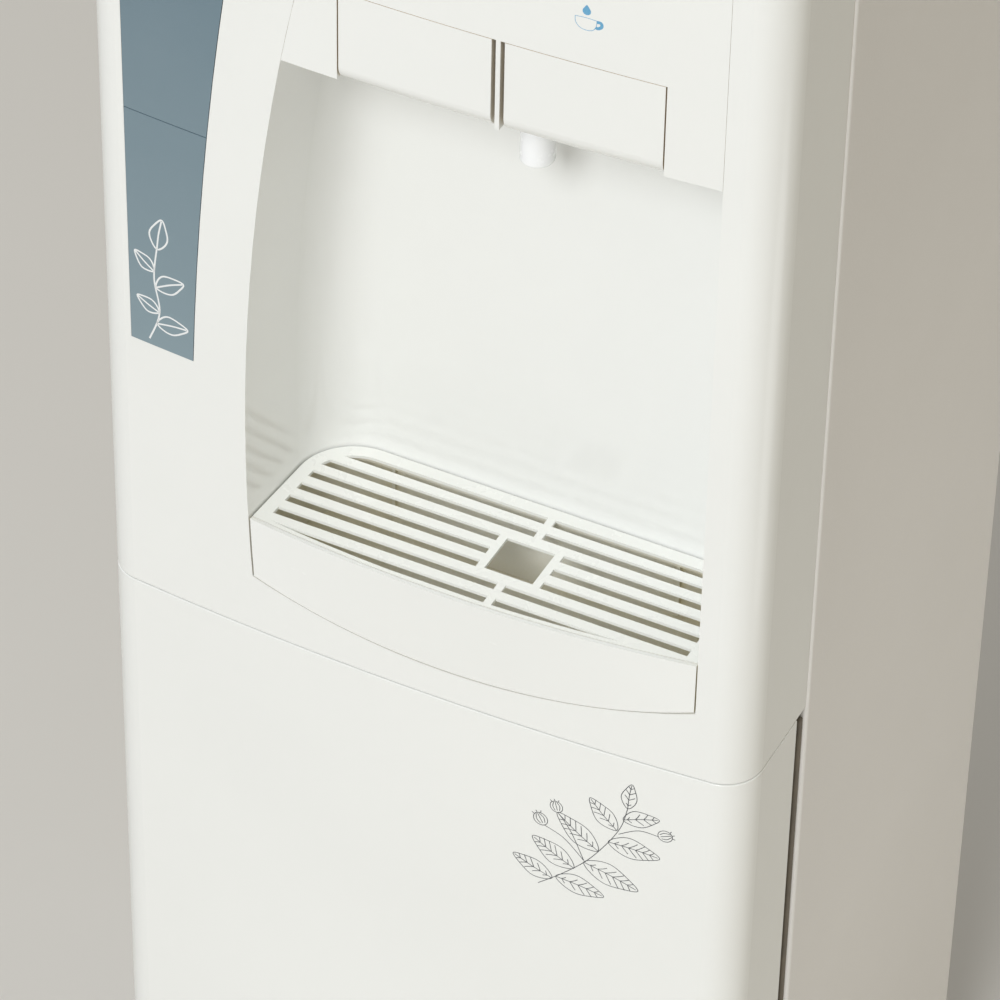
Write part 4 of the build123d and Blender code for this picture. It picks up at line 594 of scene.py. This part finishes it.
def cup_icon(name, ink_material, u, z):
    """A drop that falls into a cup drawn in outline, with a solid round handle."""
    cup_z = z - 0.0016
    drop_z = z + 0.0024
    left, right = (-5.2, 0.4), (4.7, 0.4)
    bowl = [left, (-4.9, -2.6), (-2.9, -4.9), (0.0, -5.6), (2.9, -4.9), (4.4, -2.6), right]
    handle = [(4.7, -0.2), (6.6, -0.3), (6.9, -2.0), (5.4, -3.3), (4.2, -3.1)]
    ink = bmesh.new()
    fill_shape(ink, place(drop_path(1.9), u, drop_z))
    draw_line(ink, place(smooth_path(bowl, 6), u, cup_z), ICON_BOWL)
    draw_line(ink, place([left, (-0.3, 0.7), right], u, cup_z), ICON_RIM)
    draw_line(ink, place(smooth_path(handle, 6), u, cup_z), ICON_HANDLE)
    as_piece(name, ink, ink_material, "cabinet")


cup_icon("cold_icon", blue_ink, COLD_ICON_X, ICON_Z)
cup_icon("hot_icon", red_ink, HOT_ICON_X, ICON_Z)

# ---------------------------------------------------------------- painted shade: dark strips in the door's gap

SHADE_STRIP_X = 0.1647  # middle of each strip, to either side
SHADE_STRIP_Z = 0.2770
SHADE_STRIP_SIZE = (0.0094, 0.0044, 0.4340)
shade_strip_y = PANEL_FRONT_Y - SHADE_STRIP_SIZE[1] / 2
# Painted shade: dark rubber strips stand in the door's gap to darken it as its shade would
gap_shade_strips = bmesh.new()
for side in (-1, 1):
    bmesh.ops.create_cube(
        gap_shade_strips,
        size=1.0,
        matrix=Matrix.Translation((side * SHADE_STRIP_X, shade_strip_y, SHADE_STRIP_Z))
        @ Matrix.Diagonal((*SHADE_STRIP_SIZE, 1.0)),
    )
bmesh.ops.bevel(
    gap_shade_strips,
    geom=gap_shade_strips.edges[:],
    offset=0.0012,
    segments=3,
    profile=0.5,
    affect="EDGES",
)
as_piece("gap_shade_strips", gap_shade_strips, looks["gasket_rubber"], "cabinet")

# ---------------------------------------------------------------- floor, light, camera

floor_mesh = bpy.data.meshes.new("floor")
floor_bm = bmesh.new()
bmesh.ops.create_grid(floor_bm, x_segments=8, y_segments=8, size=30.0)
floor_bm.to_mesh(floor_mesh)
floor_bm.free()
floor = bpy.data.objects.new("floor", floor_mesh)
bpy.context.scene.collection.objects.link(floor)
floor_look = Look("floor", 0.55)
floor_clouds = floor_look.spread(floor_look.noise(1.5, 4.0), 0.0, 1.0)
floor_look.colour(floor_look.blend(floor_clouds, (0.68, 0.655, 0.610), (0.71, 0.685, 0.640)))
floor.data.materials.append(floor_look.material)

world = bpy.data.worlds.new("studio")
bpy.context.scene.world = world
world.use_nodes = True
sky = world.node_tree
light_path = sky.nodes.new("ShaderNodeLightPath")
seen = sky.nodes.new("ShaderNodeBackground")
fill = sky.nodes["Background"]
fill.inputs["Strength"].default_value = 0.50
way = sky.nodes.new("ShaderNodeSeparateXYZ")
sky.links.new(sky.nodes.new("ShaderNodeTexCoord").outputs["Generated"], way.inputs["Vector"])
to_right = sky.nodes.new("ShaderNodeMapRange")
to_right.inputs["From Min"].default_value = 0.15
sky.links.new(way.outputs["X"], to_right.inputs["Value"])
# fill lights the object, seen is what the camera, gloss and glass show
for background, left, right in (
    (fill, (0.985, 1.0, 1.0), (0.56, 0.43, 0.18)),
    (seen, (0.86, 0.85, 0.83), (0.68, 0.63, 0.55)),
):
    walls = sky.nodes.new("ShaderNodeMix")
    walls.data_type = "RGBA"
    walls.inputs[6].default_value = (*left, 1.0)
    walls.inputs[7].default_value = (*right, 1.0)
    sky.links.new(to_right.outputs["Result"], walls.inputs[0])
    sky.links.new(walls.outputs[2], background.inputs["Color"])
either = sky.nodes.new("ShaderNodeMixShader")
shown = light_path.outputs["Is Camera Ray"]
for ray in ("Is Glossy Ray", "Is Transmission Ray"):
    larger = sky.nodes.new("ShaderNodeMath")
    larger.operation = "MAXIMUM"
    sky.links.new(shown, larger.inputs[0])
    sky.links.new(light_path.outputs[ray], larger.inputs[1])
    shown = larger.outputs["Value"]
sky.links.new(shown, either.inputs["Fac"])
sky.links.new(fill.outputs["Background"], either.inputs[1])
sky.links.new(seen.outputs["Background"], either.inputs[2])
sky.links.new(either.outputs["Shader"], sky.nodes["World Output"].inputs["Surface"])


def area_light(name, place_at, aim, size, power, colour, spread=180.0):
    """A round soft lamp that shines from a place towards another."""
    lamp = bpy.data.lights.new(name, "AREA")
    lamp.shape = "DISK"
    lamp.size = size
    lamp.energy = power
    lamp.color = colour
    lamp.spread = math.radians(spread)
    holder = bpy.data.objects.new(name, lamp)
    holder.location = place_at
    holder.rotation_mode = "QUATERNION"
    holder.rotation_quaternion = (Vector(aim) - Vector(place_at)).to_track_quat("-Z", "Y")
    holder.visible_camera = False
    bpy.context.scene.collection.objects.link(holder)


area_light(
    "key",
    place_at=(0.70, -9.57, 8.03),
    aim=(0.04, -0.13, 0.65),
    size=4.60,
    power=872.0,
    colour=(0.985, 1.0, 1.015),
)
area_light(
    "low_right",
    place_at=(0.90, -0.10, 0.12),
    aim=(0.17, 0.0, 0.38),
    size=0.40,
    power=0.12,
    colour=(0.96, 0.98, 1.0),
    spread=80.0,
)

CAMERA_PLACE = (0.8766, -1.8662, 2.2387)
CAMERA_RIGHT = (0.89163932, 0.45246424, 0.01598243)
CAMERA_DOWN = (0.3039862, -0.57213704, -0.76174248)
CAMERA_FORWARD = (-0.33551709, 0.68405798, -0.64768276)
LENS = 198.0  # millimetres, on a sensor 36 wide
camera_data = bpy.data.cameras.new("camera")
camera_data.sensor_width = 36.0
camera_data.lens = LENS
camera_data.clip_end = 100.0
camera = bpy.data.objects.new("camera", camera_data)
axes = (Vector(CAMERA_RIGHT), -Vector(CAMERA_DOWN), -Vector(CAMERA_FORWARD))
turn = Matrix([[axes[c][r] for c in range(3)] for r in range(3)]).to_4x4()
camera.matrix_world = Matrix.Translation(CAMERA_PLACE) @ turn
bpy.context.scene.collection.objects.link(camera)
bpy.context.scene.camera = camera
bpy.context.scene.view_settings.view_transform = "Standard"
